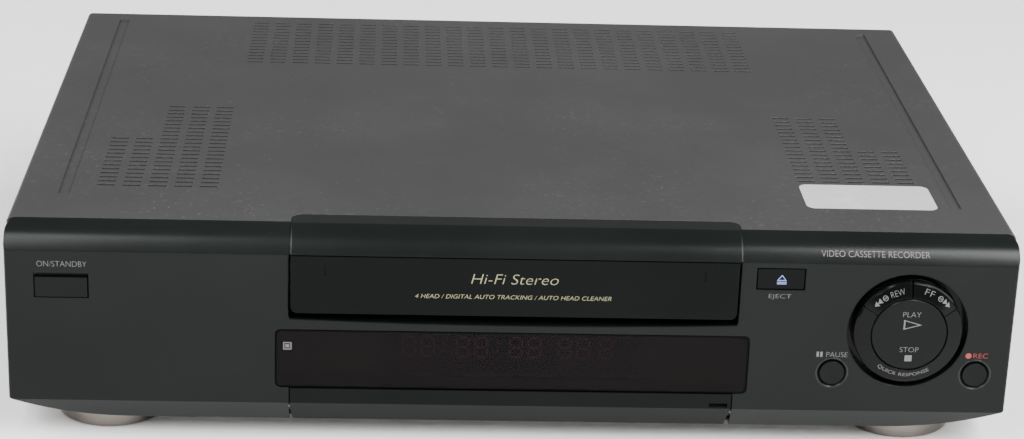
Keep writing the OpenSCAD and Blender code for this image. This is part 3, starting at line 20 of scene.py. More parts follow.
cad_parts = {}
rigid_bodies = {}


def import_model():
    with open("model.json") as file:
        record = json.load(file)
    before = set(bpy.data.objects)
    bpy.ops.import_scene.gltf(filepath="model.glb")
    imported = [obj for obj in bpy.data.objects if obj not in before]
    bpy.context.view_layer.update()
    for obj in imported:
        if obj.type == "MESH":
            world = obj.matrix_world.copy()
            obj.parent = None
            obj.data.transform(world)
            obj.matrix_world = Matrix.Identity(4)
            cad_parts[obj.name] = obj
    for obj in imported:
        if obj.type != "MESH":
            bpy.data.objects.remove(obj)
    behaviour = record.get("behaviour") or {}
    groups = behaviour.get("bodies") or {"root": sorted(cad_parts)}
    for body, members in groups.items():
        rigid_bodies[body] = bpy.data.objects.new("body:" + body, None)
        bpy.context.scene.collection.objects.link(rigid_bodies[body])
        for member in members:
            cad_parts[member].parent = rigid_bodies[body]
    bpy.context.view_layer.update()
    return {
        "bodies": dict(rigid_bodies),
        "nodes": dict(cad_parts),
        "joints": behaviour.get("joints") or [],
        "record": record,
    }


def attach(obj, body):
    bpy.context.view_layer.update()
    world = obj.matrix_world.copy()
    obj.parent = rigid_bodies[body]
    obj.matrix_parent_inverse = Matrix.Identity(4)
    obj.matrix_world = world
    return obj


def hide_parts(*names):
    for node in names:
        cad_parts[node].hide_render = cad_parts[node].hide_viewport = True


LOG = logging.getLogger("recorder")
MM = 0.001
FACE_Y = -157.0
# A quarter turn in radians, and how far printed marks stand off their face in millimetres
QUARTER = 1.5708
PRINT = 0.05
# How far the finest marks stand off, and the radius under which a turned point lies on its axis
FINE_PRINT = 0.04
ON_AXIS = 1e-6
Number = float | int
Point = tuple[float, float, float]
Flat = tuple[float, float]


# ---------------------------------------------------------------- shader maths
class Wire:
    """A shader socket that takes part in Python arithmetic."""

    def __init__(self, bench: "Bench", socket: bpy.types.NodeSocket) -> None:
        """Keep the socket and the bench that it belongs to.

        Args:
            bench: The node bench that makes new nodes.
            socket: An output socket.
        """
        self.bench = bench
        self.socket = socket

    def _math(self, operation: str, first: "Wire | Number", second: "Wire | Number") -> "Wire":
        """Add one Math node.

        Args:
            operation: The Math node's operation.
            first: First value.
            second: Second value.

        Returns:
            The node's output.
        """
        return self.bench.add("ShaderNodeMath", {"operation": operation}, {0: first, 1: second})

    def __add__(self, other: "Wire | Number") -> "Wire":
        """Sum."""
        return self._math("ADD", self, other)

    def __radd__(self, other: Number) -> "Wire":
        """Sum, number first."""
        return self._math("ADD", other, self)

    def __sub__(self, other: "Wire | Number") -> "Wire":
        """Difference."""
        return self._math("SUBTRACT", self, other)

    def __rsub__(self, other: Number) -> "Wire":
        """Difference, number first."""
        return self._math("SUBTRACT", other, self)

    def __mul__(self, other: "Wire | Number") -> "Wire":
        """Product."""
        return self._math("MULTIPLY", self, other)

    def __rmul__(self, other: Number) -> "Wire":
        """Product, number first."""
        return self._math("MULTIPLY", other, self)

    def __lt__(self, other: "Wire | Number") -> "Wire":
        """1 where less."""
        return self._math("LESS_THAN", self, other)

    def band(self, low: float, high: float) -> "Wire":
        """Ramp from 0 at low to 1 at high.

        Args:
            low: Value that gives 0.
            high: Value that gives 1.

        Returns:
            The clamped ramp.
        """
        return self.bench.add("ShaderNodeMapRange", {"interpolation_type": "SMOOTHSTEP"},
                              {"Value": self, "From Min": low, "From Max": high})


class Bench:
    """The node tree of one material."""

    def __init__(self, name: str) -> None:
        """Start an empty material.

        Args:
            name: The material's name.
        """
        self.material = bpy.data.materials.new(name)
        self.material.use_nodes = True
        self.tree = self.material.node_tree
        self.tree.nodes.clear()

    def raw(self, kind: str, settings: dict[str, object], inputs: dict[str | int, object]) -> bpy.types.Node:
        """Make any node.

        Args:
            kind: Blender's node type.
            settings: Node properties, set before the sockets. "stops" fills a colour ramp.
            inputs: Socket name or number to a value or a Wire.

        Returns:
            The node.
        """
        node = self.tree.nodes.new(kind)
        for name, value in settings.items():
            if name == "stops":
                ramp = node.color_ramp
                while len(ramp.elements) < len(value):
                    ramp.elements.new(0.5)
                for element, (place, colour) in zip(ramp.elements, value):
                    element.position = place
                    element.color = (*colour, 1.0)
            else:
                setattr(node, name, value)
        for name, value in inputs.items():
            socket = node.inputs[name]
            if isinstance(value, Wire):
                self.tree.links.new(value.socket, socket)
            elif socket.type == "RGBA" and len(value) == 3:
                socket.default_value = (*value, 1.0)
            else:
                socket.default_value = value
        return node

    def add(self, kind: str, settings: dict[str, object] | None = None,
            inputs: dict[str | int, object] | None = None, output: str | int = 0) -> Wire:
        """Make any node and take one of its outputs.

        Args:
            kind: Blender's node type.
            settings: Node properties.
            inputs: Socket values.
            output: Name or number of the output.

        Returns:
            The output as a Wire.
        """
        return Wire(self, self.raw(kind, settings or {}, inputs or {}).outputs[output])

    def place(self) -> Wire:
        """Position on the object, in metres."""
        return self.add("ShaderNodeTexCoord", output="Object")

    def stretched(self, scale: Point) -> Wire:
        """Position scaled along each axis."""
        return self.add("ShaderNodeVectorMath", {"operation": "MULTIPLY"}, {0: self.place(), 1: scale})

    def turned(self, rotation: Point, scale: Point = (1.0, 1.0, 1.0)) -> Wire:
        """Position scaled along each axis, then turned.

        Args:
            rotation: Angles in radians.
            scale: Factor along each axis.

        Returns:
            The position.
        """
        return self.add("ShaderNodeMapping", {}, {
            "Vector": self.place(), "Rotation": rotation, "Scale": scale})

    def cells(self, scale: float, output: str) -> Wire:
        """Cell pattern.

        Args:
            scale: Cells per metre.
            output: Color for each cell's own colour, Distance for the way to its point.

        Returns:
            The colour or the distance.
        """
        return self.add("ShaderNodeTexVoronoi", {"feature": "F1"},
                        {"Vector": self.place(), "Scale": scale}, output)

    def bricks(self, vector: Wire, shift: float, scale: float, joint: float, brick: Flat) -> Wire:
        """Joints of a brick pattern.

        Args:
            vector: Position.
            shift: Share of a brick by which every other row is set off.
            scale: Pattern units per metre.
            joint: Width of the joints.
            brick: Width and height of a brick.

        Returns:
            1 on the joints.
        """
        return self.add("ShaderNodeTexBrick", {"offset": shift}, {
            "Vector": vector, "Scale": scale, "Mortar Size": joint,
            "Brick Width": brick[0], "Row Height": brick[1]}, "Fac")

    def noise(self, scale: float, detail: float = 3.0, rough: float = 0.55,
              vector: Wire | None = None) -> Wire:
        """Noise between 0 and 1.

        Args:
            scale: Features per metre.
            detail: Octaves.
            rough: Strength of the fine octaves.
            vector: Position; the plain one if left out.

        Returns:
            The noise value.
        """
        return self.add("ShaderNodeTexNoise", {}, {"Vector": vector or self.place(), "Scale": scale,
                                                   "Detail": detail, "Roughness": rough})

    def mix(self, factor: "Wire | Number", first: "Wire | Point", second: "Wire | Point") -> Wire:
        """Mix two colours.

        Args:
            factor: 0 gives first, 1 gives second.
            first: A colour.
            second: A colour.

        Returns:
            The mixed colour.
        """
        return self.add("ShaderNodeMix", {"data_type": "RGBA"}, {0: factor, 6: first, 7: second}, output=2)

    def bump(self, height: Wire, depth: float, strength: float = 1.0, soften: float = 0.0) -> Wire:
        """Bump from a height.

        Args:
            height: Height between 0 and 1.
            depth: Depth of the relief in metres.
            strength: Share of the relief that is used.
            soften: Radius in metres that rounds the solid's edges.

        Returns:
            The normal.
        """
        inputs: dict[str | int, object] = {"Height": height, "Distance": depth, "Strength": strength}
        if soften > 0:
            inputs["Normal"] = self.add("ShaderNodeBevel", {"samples": 4}, {"Radius": soften})
        return self.add("ShaderNodeBump", {}, inputs)

    def close(self, **sockets: object) -> bpy.types.Material:
        """End the tree in a Principled shader.

        Args:
            **sockets: Principled socket names, with underscores for blanks.

        Returns:
            The finished material.
        """
        values = {name.replace("_", " "): value for name, value in sockets.items()}
        shader = self.raw("ShaderNodeBsdfPrincipled", {}, values)
        end = self.tree.nodes.new("ShaderNodeOutputMaterial")
        self.tree.links.new(shader.outputs[0], end.inputs[0])
        return self.material


# -------------------------------------------------------------------- finishes
@dataclass(frozen=True)
class SatinMoulding:
    """Moulded plastic with a fine spark-eroded grain, light handling marks and rounded edges."""

    name: str
    colour: Point
    gloss: float = 0.36
    grain: float = 2600.0
    relief: float = 0.000012
    edge: float = 0.0004
    shine: float = 0.3

    def build(self) -> bpy.types.Material:
        """Make the material."""
        bench = Bench(self.name)
        grain = bench.noise(self.grain, 2.0)
        cloud = bench.noise(14.0, 4.0)
        wipe = bench.noise(1.0, 5.0, 0.6, bench.stretched((60.0, 220.0, 420.0)))
        tint = bench.mix(cloud.band(0.3, 0.75), self.colour, tuple(c * 1.22 + 0.0006 for c in self.colour))
        fleck = bench.noise(900.0, 1.0).band(0.78, 0.84)
        tint = bench.mix(fleck * 0.18, tint, (0.12, 0.12, 0.115))
        rough = self.gloss + 0.09 * (cloud - 0.5) + 0.05 * (wipe - 0.5) + 0.05 * grain
        normal = bench.bump(grain, self.relief, 0.8, self.edge)
        return bench.close(Base_Color=tint, Roughness=rough, Normal=normal, IOR=1.5,
                           Specular_IOR_Level=self.shine)


@dataclass(frozen=True)
class CoverPaint:
    """Dark satin paint on sheet steel: orange peel, settled dust and hairline scratches."""

    name: str
    colour: Point
    gloss: float

    def build(self) -> bpy.types.Material:
        """Make the material."""
        bench = Bench(self.name)
        peel = bench.noise(1500.0, 2.0)
        cloud = bench.noise(7.0, 5.0, 0.62)
        dust = bench.noise(420.0, 4.0, 0.7).band(0.55, 0.8) * bench.noise(11.0, 3.0).band(0.35, 0.7)
        speck = bench.noise(760.0, 1.0).band(0.76, 0.8)
        streak = bench.noise(1.0, 2.0, 0.5, bench.stretched((26.0, 900.0, 900.0))).band(0.72, 0.76)
        turned = bench.turned((0.0, 0.0, 0.9), (30.0, 1400.0, 30.0))
        slant = bench.noise(1.0, 1.0, 0.5, turned).band(0.76, 0.79)
        mark = streak * 0.35 + slant * 0.5
        tint = bench.mix(cloud.band(0.3, 0.7), self.colour, tuple(c * 1.35 for c in self.colour))
        tint = bench.mix(dust * 0.14 + speck * 0.25, tint, (0.26, 0.26, 0.25))
        rough = self.gloss + 0.12 * (cloud - 0.5) + 0.1 * dust - 0.07 * mark
        normal = bench.bump(peel, 0.00001, 0.7, 0.0005)
        return bench.close(Base_Color=tint, Roughness=rough, Normal=normal, IOR=1.5)


@dataclass(frozen=True)
class SpunMetal:
    """Champagne metallic ring, turned, with fine circular marks."""

    name: str
    colour: Point
    rough: float
    metal: float = 1.0

    def build(self) -> bpy.types.Material:
        """Make the material."""
        bench = Bench(self.name)
        ring = bench.noise(1.0, 3.0, 0.6, bench.stretched((22.0, 22.0, 5200.0)))
        cloud = bench.noise(60.0, 3.0)
        tint = bench.mix(ring.band(0.3, 0.7), tuple(c * 0.8 for c in self.colour), self.colour)
        tint = bench.mix(bench.noise(500.0, 3.0).band(0.66, 0.8) * 0.3, tint, (0.05, 0.045, 0.04))
        rough = self.rough + 0.14 * (ring - 0.5) + 0.1 * (cloud - 0.5)
        return bench.close(Base_Color=tint, Roughness=rough, Metallic=self.metal,
                           Normal=bench.bump(ring, 0.00002, 0.6, 0.0003))


@dataclass(frozen=True)
class PlatedSheet:
    """Zinc or nickel plated steel with rolling lines, faint spangle and handling marks."""

    name: str
    colour: Point
    rough: float

    def build(self) -> bpy.types.Material:
        """Make the material."""
        bench = Bench(self.name)
        roll = bench.noise(1.0, 2.0, 0.5, bench.stretched((14.0, 1600.0, 1600.0)))
        grey = bench.add("ShaderNodeRGBToBW", inputs={0: bench.cells(210.0, "Color")})
        smear = bench.noise(18.0, 5.0, 0.65)
        tint = bench.mix(grey * 0.35 + smear * 0.4, self.colour, tuple(c * 0.66 for c in self.colour))
        tint = bench.mix(bench.noise(320.0, 4.0, 0.7).band(0.68, 0.82) * 0.35, tint, (0.12, 0.1, 0.08))
        rough = self.rough + 0.16 * (smear - 0.5) + 0.08 * (grey - 0.5) + 0.08 * (roll - 0.5)
        return bench.close(Base_Color=tint, Roughness=rough, Metallic=1.0,
                           Normal=bench.bump(roll, 0.000012, 0.5, 0.0003))


@dataclass(frozen=True)
class TurnedMetal:
    """Machined metal with circular tool marks about an upright axis."""

    name: str
    colour: Point
    rough: float

    def build(self) -> bpy.types.Material:
        """Make the material."""
        bench = Bench(self.name)
        lines = bench.noise(1.0, 2.0, 0.6, bench.stretched((40.0, 40.0, 4000.0)))
        smear = bench.noise(70.0, 3.0)
        tint = bench.mix(lines, self.colour, tuple(c * 0.75 for c in self.colour))
        rough = self.rough + 0.15 * (smear - 0.5) + 0.08 * (lines - 0.5)
        return bench.close(Base_Color=tint, Roughness=rough, Metallic=1.0,
                           Normal=bench.bump(lines, 0.00001, 0.6, 0.0003))


@dataclass(frozen=True)
class SoftRubber:
    """Matt black rubber with a powdery bloom."""

    name: str
    colour: Point

    def build(self) -> bpy.types.Material:
        """Make the material."""
        bench = Bench(self.name)
        pore = bench.noise(1800.0, 3.0)
        bloom = bench.noise(60.0, 4.0, 0.65).band(0.4, 0.75)
        tint = bench.mix(bloom * 0.4, self.colour, (0.07, 0.068, 0.064))
        return bench.close(Base_Color=tint, Roughness=0.72 + 0.14 * bloom + 0.05 * (pore - 0.5),
                           Normal=bench.bump(pore, 0.00004, 0.6, 0.0003))


@dataclass(frozen=True)
class CircuitBoard:
    """Solder-masked board: tracks, pads and printed outlines under a glossy coat."""

    name: str
    mask: Point
    track: Point

    def build(self) -> bpy.types.Material:
        """Make the material."""
        bench = Bench(self.name)
        lanes = bench.bricks(bench.place(), 0.37, 150.0, 0.035, (1.7, 0.42))
        cross = bench.bricks(bench.turned((0.0, 0.0, QUARTER)), 0.21, 110.0, 0.03, (2.4, 0.5))
        line = bench.add("ShaderNodeMath", {"operation": "MAXIMUM"}, {0: lanes, 1: cross})
        pad = bench.cells(260.0, "Distance") < 0.16
        tint = bench.mix(line, self.mask, self.track)
        tint = bench.mix(pad, tint, (0.55, 0.53, 0.48))
        stain = bench.noise(40.0, 4.0, 0.6)
        tint = bench.mix(stain.band(0.5, 0.8) * 0.35, tint, tuple(c * 0.5 for c in self.mask))
        return bench.close(Base_Color=tint, Roughness=0.34 + 0.2 * (stain - 0.5) + 0.1 * pad,
                           Normal=bench.bump(line + pad, 0.00004, 0.7))


@dataclass(frozen=True)
class PlainMoulding:
    """Natural or coloured engineering plastic with flow marks, for gears, reels and sockets."""

    name: str
    colour: Point
    rough: float = 0.45

    def build(self) -> bpy.types.Material:
        """Make the material."""
        bench = Bench(self.name)
        flow = bench.noise(45.0, 3.0, 0.6)
        fine = bench.noise(1900.0, 2.0)
        tint = bench.mix(flow.band(0.3, 0.75), self.colour, tuple(c * 0.82 for c in self.colour))
        speck = bench.noise(600.0, 2.0).band(0.7, 0.8)
        tint = bench.mix(speck * 0.3, tint, tuple(c * 0.4 for c in self.colour))
        return bench.close(Base_Color=tint, Roughness=self.rough + 0.12 * (flow - 0.5) + 0.06 * (fine - 0.5),
                           Normal=bench.bump(fine, 0.00001, 0.6, 0.0002))


@dataclass(frozen=True)
class SmokedGlazing:
    """Smoked window: dark see-through plastic with a polished face and fine wipe marks."""

    name: str
    colour: Point

    def build(self) -> bpy.types.Material:
        """Make the material."""
        bench = Bench(self.name)
        wipe = bench.noise(1.0, 3.0, 0.6, bench.stretched((30.0, 1.0, 260.0)))
        cloud = bench.noise(16.0, 3.0)
        tint = bench.mix(cloud, self.colour, tuple(c * 1.5 for c in self.colour))
        return bench.close(Base_Color=tint, Roughness=0.09 + 0.05 * wipe, Alpha=0.72 + 0.03 * cloud, IOR=1.49,
                           Specular_IOR_Level=0.075, Normal=bench.bump(wipe, 0.000002, 0.3, 0.0003))


@dataclass(frozen=True)
class Ink:
    """Screen-printed ink, slightly worn and speckled."""

    name: str
    colour: Point
    rough: float = 0.5
    metal: float = 0.0

    def build(self) -> bpy.types.Material:
        """Make the material."""
        bench = Bench(self.name)
        wear = bench.noise(1400.0, 3.0, 0.7)
        tint = bench.mix(wear.band(0.5, 0.8) * 0.45, self.colour, tuple(c * 0.45 for c in self.colour))
        return bench.close(Base_Color=tint, Roughness=self.rough + 0.12 * (wear - 0.5), Metallic=self.metal,
                           Normal=bench.bump(wear, 0.000008, 0.5))


@dataclass(frozen=True)
class LabelPaper:
    """Blank white sticker: coated paper with a fibre grain and rubbed patches."""

    name: str
    colour: Point

    def build(self) -> bpy.types.Material:
        """Make the material."""
        bench = Bench(self.name)
        fibre = bench.noise(1300.0, 4.0, 0.7)
        rub = bench.noise(70.0, 5.0, 0.65).band(0.45, 0.8)
        tint = bench.mix(rub * 0.25, self.colour, (0.55, 0.54, 0.52))
        return bench.close(Base_Color=tint, Roughness=0.42 + 0.18 * rub + 0.05 * (fibre - 0.5),
                           Normal=bench.bump(fibre, 0.000012, 0.5))


@dataclass(frozen=True)
class DisplayTube:
    """Unlit display behind the window: dark grid glass with faint red figures."""

    name: str

    def build(self) -> bpy.types.Material:
        """Make the material."""
        bench = Bench(self.name)
        grid = bench.bricks(bench.turned((QUARTER, 0.0, 0.0)), 0.0, 900.0, 0.06, (0.5, 0.5))
        haze = bench.noise(30.0, 3.0)
        tint = bench.mix(grid * 0.12, (0.010, 0.005, 0.006), (0.04, 0.010, 0.012))
        tint = bench.mix(haze.band(0.4, 0.7) * 0.5, tint, (0.026, 0.006, 0.009))
        return bench.close(Base_Color=tint, Roughness=0.4 + 0.1 * haze, Specular_IOR_Level=0.1,
                           Normal=bench.bump(haze, 0.00001, 0.3))


class Finish(Enum):
    """Every finish on the recorder, with the record's slot that it belongs to."""

    COVER = (CoverPaint("cover_paint_satin", (0.0182, 0.0182, 0.0187), 0.42), "cover_paint")
    PANEL = (SatinMoulding("panel_moulding", (0.0040, 0.0051, 0.0047), 0.2, edge=0.0008, shine=0.1),
             "panel_plastic")
    LIP = (SatinMoulding("lip_moulding", (0.0040, 0.0051, 0.0047), 0.2, shine=0.3), "panel_plastic")
    KEY = (SatinMoulding("key_moulding", (0.0032, 0.0040, 0.0037), 0.25, 3000.0, shine=0.08), "panel_plastic")
    DIAL = (SatinMoulding("dial_moulding", (0.0016, 0.0020, 0.0018), 0.13, 3000.0, 0.000005, 0.0006, 0.095),
            "panel_plastic")
    DARK_KEY = (SatinMoulding("dark_key_moulding", (0.0013, 0.0017, 0.0016), 0.2, 3000.0, shine=0.065),
                "panel_plastic")
    DOOR = (SatinMoulding("door_moulding", (0.0021, 0.0028, 0.0026), 0.22, shine=0.068), "panel_plastic")
    FLAP = (SatinMoulding("flap_moulding", (0.0016, 0.0023, 0.0021), 0.22, shine=0.055), "flap_plastic")
    # Near-black finish for the frame round the window: painted shade for the shadow in the window's edge gap.
    GAP_SHADE = (SatinMoulding("painted_gap_shade_black", (0.0006, 0.0006, 0.0006), 0.3, shine=0.05), "smoked_window")
    WINDOW = (SmokedGlazing("smoked_glazing", (0.0022, 0.0014, 0.0017)), "smoked_window")
    TUBE = (DisplayTube("display_tube"), "display_glass")
    FOOT = (SpunMetal("foot_champagne", (0.22, 0.195, 0.177), 0.24), "foot_metal")
    FOOT_BLACK = (PlainMoulding("foot_black", (0.016, 0.016, 0.016), 0.5), "foot_black")
    BLACK = (PlainMoulding("socket_black", (0.012, 0.012, 0.013), 0.42), "foot_black")
    RUBBER = (SoftRubber("soft_rubber", (0.014, 0.014, 0.014)), "soft_pad")
    ZINC = (PlatedSheet("zinc_sheet", (0.52, 0.52, 0.50), 0.36), "zinc_steel")
    SCREW = (PlatedSheet("blackened_screw", (0.05, 0.05, 0.052), 0.34), "black_screw")
    BRIGHT = (TurnedMetal("turned_bright", (0.62, 0.62, 0.63), 0.22), "cast_aluminium")
    MOTOR = (TurnedMetal("motor_can", (0.5, 0.5, 0.52), 0.3), "motor_steel")
    BRASS = (TurnedMetal("jack_plating", (0.66, 0.60, 0.44), 0.26), "jack_brass")
    BOARD_BROWN = (CircuitBoard("board_brown", (0.16, 0.085, 0.03), (0.26, 0.15, 0.055)), "brown_board")
    BOARD_GREEN = (CircuitBoard("board_green", (0.012, 0.085, 0.03), (0.03, 0.16, 0.06)), "green_board")
    GEAR = (PlainMoulding("gear_moulding", (0.62, 0.60, 0.54), 0.4), "gear_plastic")
    REEL = (PlainMoulding("reel_moulding", (0.018, 0.018, 0.02), 0.36), "reel_plastic")
    INK = (Ink("legend_ink", (0.092, 0.092, 0.09)), "panel_plastic")
    INK_WHITE = (Ink("eject_ink", (0.22, 0.29, 0.66)), "panel_plastic")
    INK_RED = (Ink("record_ink", (0.24, 0.018, 0.018)), "panel_plastic")
    INK_GOLD = (Ink("gold_ink", (0.20, 0.19, 0.105), 0.4, 0.1), "flap_plastic")
    INK_DARK = (Ink("dark_ink", (0.012, 0.012, 0.013)), "zinc_steel")
    FIGURE = (Ink("unlit_figure", (0.85, 0.03, 0.12), 0.5), "display_glass")
    LABEL = (LabelPaper("blank_label", (0.38, 0.37, 0.375)), "cover_paint")
    YELLOW = (PlainMoulding("insulator_yellow", (0.55, 0.36, 0.03), 0.4), "foot_black")
    WHITE = (PlainMoulding("insulator_white", (0.62, 0.61, 0.58), 0.4), "foot_black")
    RED = (PlainMoulding("insulator_red", (0.42, 0.03, 0.02), 0.4), "foot_black")

    @property
    def slot(self) -> str:
        """The record's material slot."""
        return self.value[1]

    def material(self) -> bpy.types.Material:
        """The Blender material, made once."""
        if self.name not in _MADE:
            _MADE[self.name] = self.value[0].build()
        return _MADE[self.name]


_MADE: dict[str, bpy.types.Material] = {}


# ---------------------------------------------------------------------- shapes
def flat_y(depth: float) -> Callable[[float, float], float]:
    """Make a surface that lies at one depth.

    Args:
        depth: Distance behind the panel face.

    Returns:
        A function from x and z to the depth.
    """
    return lambda x, z: depth


class Shape:
    """A mesh under construction, in millimetres, with y = 0 on the panel face."""

    def __init__(self) -> None:
        """Start an empty mesh."""
        self.mesh = bmesh.new()

    def face_ring(self, rings: Sequence[Sequence[Point]], close_ends: bool = True, loop: bool = True,
                  wrap: bool = False) -> "Shape":
        """Join rings of points into a skin.

        Args:
            rings: Rings with the same number of points.
            close_ends: Put a face on the first and the last ring.
            loop: Each ring closes on itself.
            wrap: The last ring joins the first.

        Returns:
            This shape.
        """
        made = [[self.mesh.verts.new(p) for p in ring] for ring in rings]
        count = len(rings[0])
        spans = count if loop else count - 1
        pairs = list(zip(made, made[1:]))
        if wrap:
            pairs.append((made[-1], made[0]))
        for low, high in pairs:
            for i in range(spans):
                j = (i + 1) % count
                self.mesh.faces.new((low[i], low[j], high[j], high[i]))
        if close_ends and not wrap:
            self.mesh.faces.new(list(reversed(made[0])))
            self.mesh.faces.new(made[-1])
        return self

    def plate(self, outline: Sequence[Flat], front: float, back: float) -> "Shape":
        """Extrude an outline in x and z from one depth to another.

        Args:
            outline: Corner points.
            front: Depth of the front.
            back: Depth of the back.

        Returns:
            This shape.
        """
        return self.face_ring([[(x, front, z) for x, z in outline], [(x, back, z) for x, z in outline]])

    def draped(self, outline: Sequence[Flat], surface: Callable[[float, float], float],
               lift: float = PRINT) -> "Shape":
        """Lay a thin filled outline over a surface.

        Args:
            outline: Corner points.
            surface: Depth at x and z.
            lift: Thickness over the surface.

        Returns:
            This shape.
        """
        return self.face_ring([[(x, surface(x, z) - lift, z) for x, z in outline],
                               [(x, surface(x, z), z) for x, z in outline]])

    def draped_band(self, outer: Sequence[Flat], inner: Sequence[Flat],
                    surface: Callable[[float, float], float], lift: float = PRINT) -> "Shape":
        """Lay a thin closed band over a surface.

        Args:
            outer: Corner points of the outside.
            inner: As many corner points of the inside.
            surface: Depth at x and z.
            lift: Thickness over the surface.

        Returns:
            This shape.
        """
        for i in range(len(outer)):
            j = (i + 1) % len(outer)
            self.draped([outer[i], outer[j], inner[j], inner[i]], surface, lift)
        return self

    def layer(self, outline: Sequence[Flat], low: float, high: float) -> "Shape":
        """Extrude an outline in x and y from one height to another.

        Args:
            outline: Corner points.
            low: Lower height.
            high: Upper height.

        Returns:
            This shape.
        """
        return self.face_ring([[(x, y, low) for x, y in outline], [(x, y, high) for x, y in outline]])

    def block(self, low: Point, high: Point, bevel: float = 0.0) -> "Shape":
        """Add a box, bevelled if asked.

        Args:
            low: Lowest corner.
            high: Highest corner.
            bevel: Width of the rounded edges.

        Returns:
            This shape.
        """
        made = bmesh.ops.create_cube(self.mesh, size=1.0)["verts"]
        for v in made:
            v.co = Vector([(a + b) / 2 + c * (b - a) for a, b, c in zip(low, high, v.co)])
        if bevel > 0:
            edges = list({e for v in made for e in v.link_edges})
            bmesh.ops.bevel(self.mesh, geom=edges, offset=bevel, segments=3, affect="EDGES", profile=0.6)
        return self

    def lathe(self, profile: Sequence[Flat], centre: Point, axis: str = "Z", steps: int = 64,
              closed: bool = False) -> "Shape":
        """Turn a profile about an axis.

        Args:
            profile: Pairs of radius and distance along the axis.
            centre: A point on the axis, where the distance is 0.
            axis: X, Y or Z.
            steps: Sides of the turned surface.
            closed: The profile closes on itself, so the result is a ring.

        Returns:
            This shape.
        """
        made: list[list[bmesh.types.BMVert]] = []
        for radius, along in profile:
            if radius < ON_AXIS:
                made.append([self.mesh.verts.new(self._round(centre, axis, 0.0, along, 0.0))])
            else:
                points = [self._round(centre, axis, radius, along, math.tau * i / steps)
                          for i in range(steps)]
                made.append([self.mesh.verts.new(point) for point in points])
        pairs = list(zip(made, made[1:])) + ([(made[-1], made[0])] if closed else [])
        for a, b in pairs:
            for i in range(steps):
                j = (i + 1) % steps
                ring = [a[i % len(a)], a[j % len(a)], b[j % len(b)], b[i % len(b)]]
                ring = [v for k, v in enumerate(ring) if v not in ring[:k]]
                if len(ring) > 2:
                    self.mesh.faces.new(ring)
        return self

    @staticmethod
    def _round(centre: Point, axis: str, radius: float, along: float, angle: float) -> Point:
        """Place a point on a circle about an axis."""
        a, b = radius * math.cos(angle), radius * math.sin(angle)
        x, y, z = {"X": (along, a, b), "Y": (a, along, b), "Z": (a, b, along)}[axis]
        return (centre[0] + x, centre[1] + y, centre[2] + z)

    def tube(self, path: Sequence[Point], radius: float, sides: int = 10, wrap: bool = False) -> "Shape":
        """Sweep a round wire along a path.

        Args:
            path: Points of the centre line.
            radius: Radius of the wire.
            sides: Sides of the wire.
            wrap: The path closes on itself.

        Returns:
            This shape.
        """
        points = [Vector(p) for p in path]
        count = len(points)
        normal = None
        rings = []
        for i, p in enumerate(points):
            before = points[i - 1] if i or wrap else points[0]
            after = points[(i + 1) % count] if i + 1 < count or wrap else points[-1]
            way = (after - before).normalized()
            if normal is None:
                normal = way.orthogonal().normalized()
            normal = (normal - way * normal.dot(way)).normalized()
            other = way.cross(normal)
            rings.append([tuple(p + radius * (math.cos(t) * normal + math.sin(t) * other))
                          for t in (math.tau * k / sides for k in range(sides))])
        return self.face_ring(rings, close_ends=not wrap, wrap=wrap)

    def turn(self, degrees: float, axis: str, centre: Point) -> "Shape":
        """Turn everything made so far about an axis through a point."""
        bmesh.ops.rotate(self.mesh, verts=self.mesh.verts, cent=centre,
                         matrix=Matrix.Rotation(math.radians(degrees), 3, axis))
        return self

    def done(self, name: str) -> bpy.types.Mesh:
        """Finish the mesh in metres.

        Args:
            name: Name of the mesh.

        Returns:
            The mesh in the recorder's frame.
        """
        bmesh.ops.recalc_face_normals(self.mesh, faces=self.mesh.faces)
        for v in self.mesh.verts:
            v.co = Vector((v.co.x * MM, (v.co.y + FACE_Y) * MM, v.co.z * MM))
        mesh = bpy.data.meshes.new(name)
        self.mesh.to_mesh(mesh)
        self.mesh.free()
        return mesh


def circle(x: float, z: float, radius: float, steps: int = 32) -> list[Flat]:
    """Outline of a circle.

    Args:
        x: Centre.
        z: Centre.
        radius: Radius.
        steps: Number of points.

    Returns:
        The points.
    """
    return [(x + radius * math.cos(math.tau * i / steps), z + radius * math.sin(math.tau * i / steps))
            for i in range(steps)]


def oblong(x0: float, x1: float, z0: float, z1: float) -> list[Flat]:
    """Outline of a rectangle.

    Args:
        x0: Low side.
        x1: High side.
        z0: Foot.
        z1: Head.

    Returns:
        Four points from the low corner.
    """
    return [(x0, z0), (x1, z0), (x1, z1), (x0, z1)]


def tilted(points: Sequence[Flat], place: Flat, angle: float) -> list[Flat]:
    """Turn points about 0, 0 and move them to a place.

    Args:
        points: The points.
        place: Where 0, 0 goes.
        angle: Turn in degrees.

    Returns:
        The moved points.
    """
    c, s = math.cos(math.radians(angle)), math.sin(math.radians(angle))
    return [(place[0] + a * c - b * s, place[1] + a * s + b * c) for a, b in points]


def rounded(x0: float, x1: float, z0: float, z1: float, radius: float, steps: int = 6) -> list[Flat]:
    """Outline of a rectangle with round corners.

    Args:
        x0: Low side.
        x1: High side.
        z0: Low side.
        z1: High side.
        radius: Corner radius.
        steps: Segments in a corner.

    Returns:
        The points.
    """
    points: list[Flat] = []
    for cx, cz, start in ((x1 - radius, z1 - radius, 0), (x0 + radius, z1 - radius, 90),
                          (x0 + radius, z0 + radius, 180), (x1 - radius, z0 + radius, 270)):
        points += [(cx + radius * math.cos(math.radians(start + 90 * i / steps)),
                    cz + radius * math.sin(math.radians(start + 90 * i / steps))) for i in range(steps + 1)]
    return points


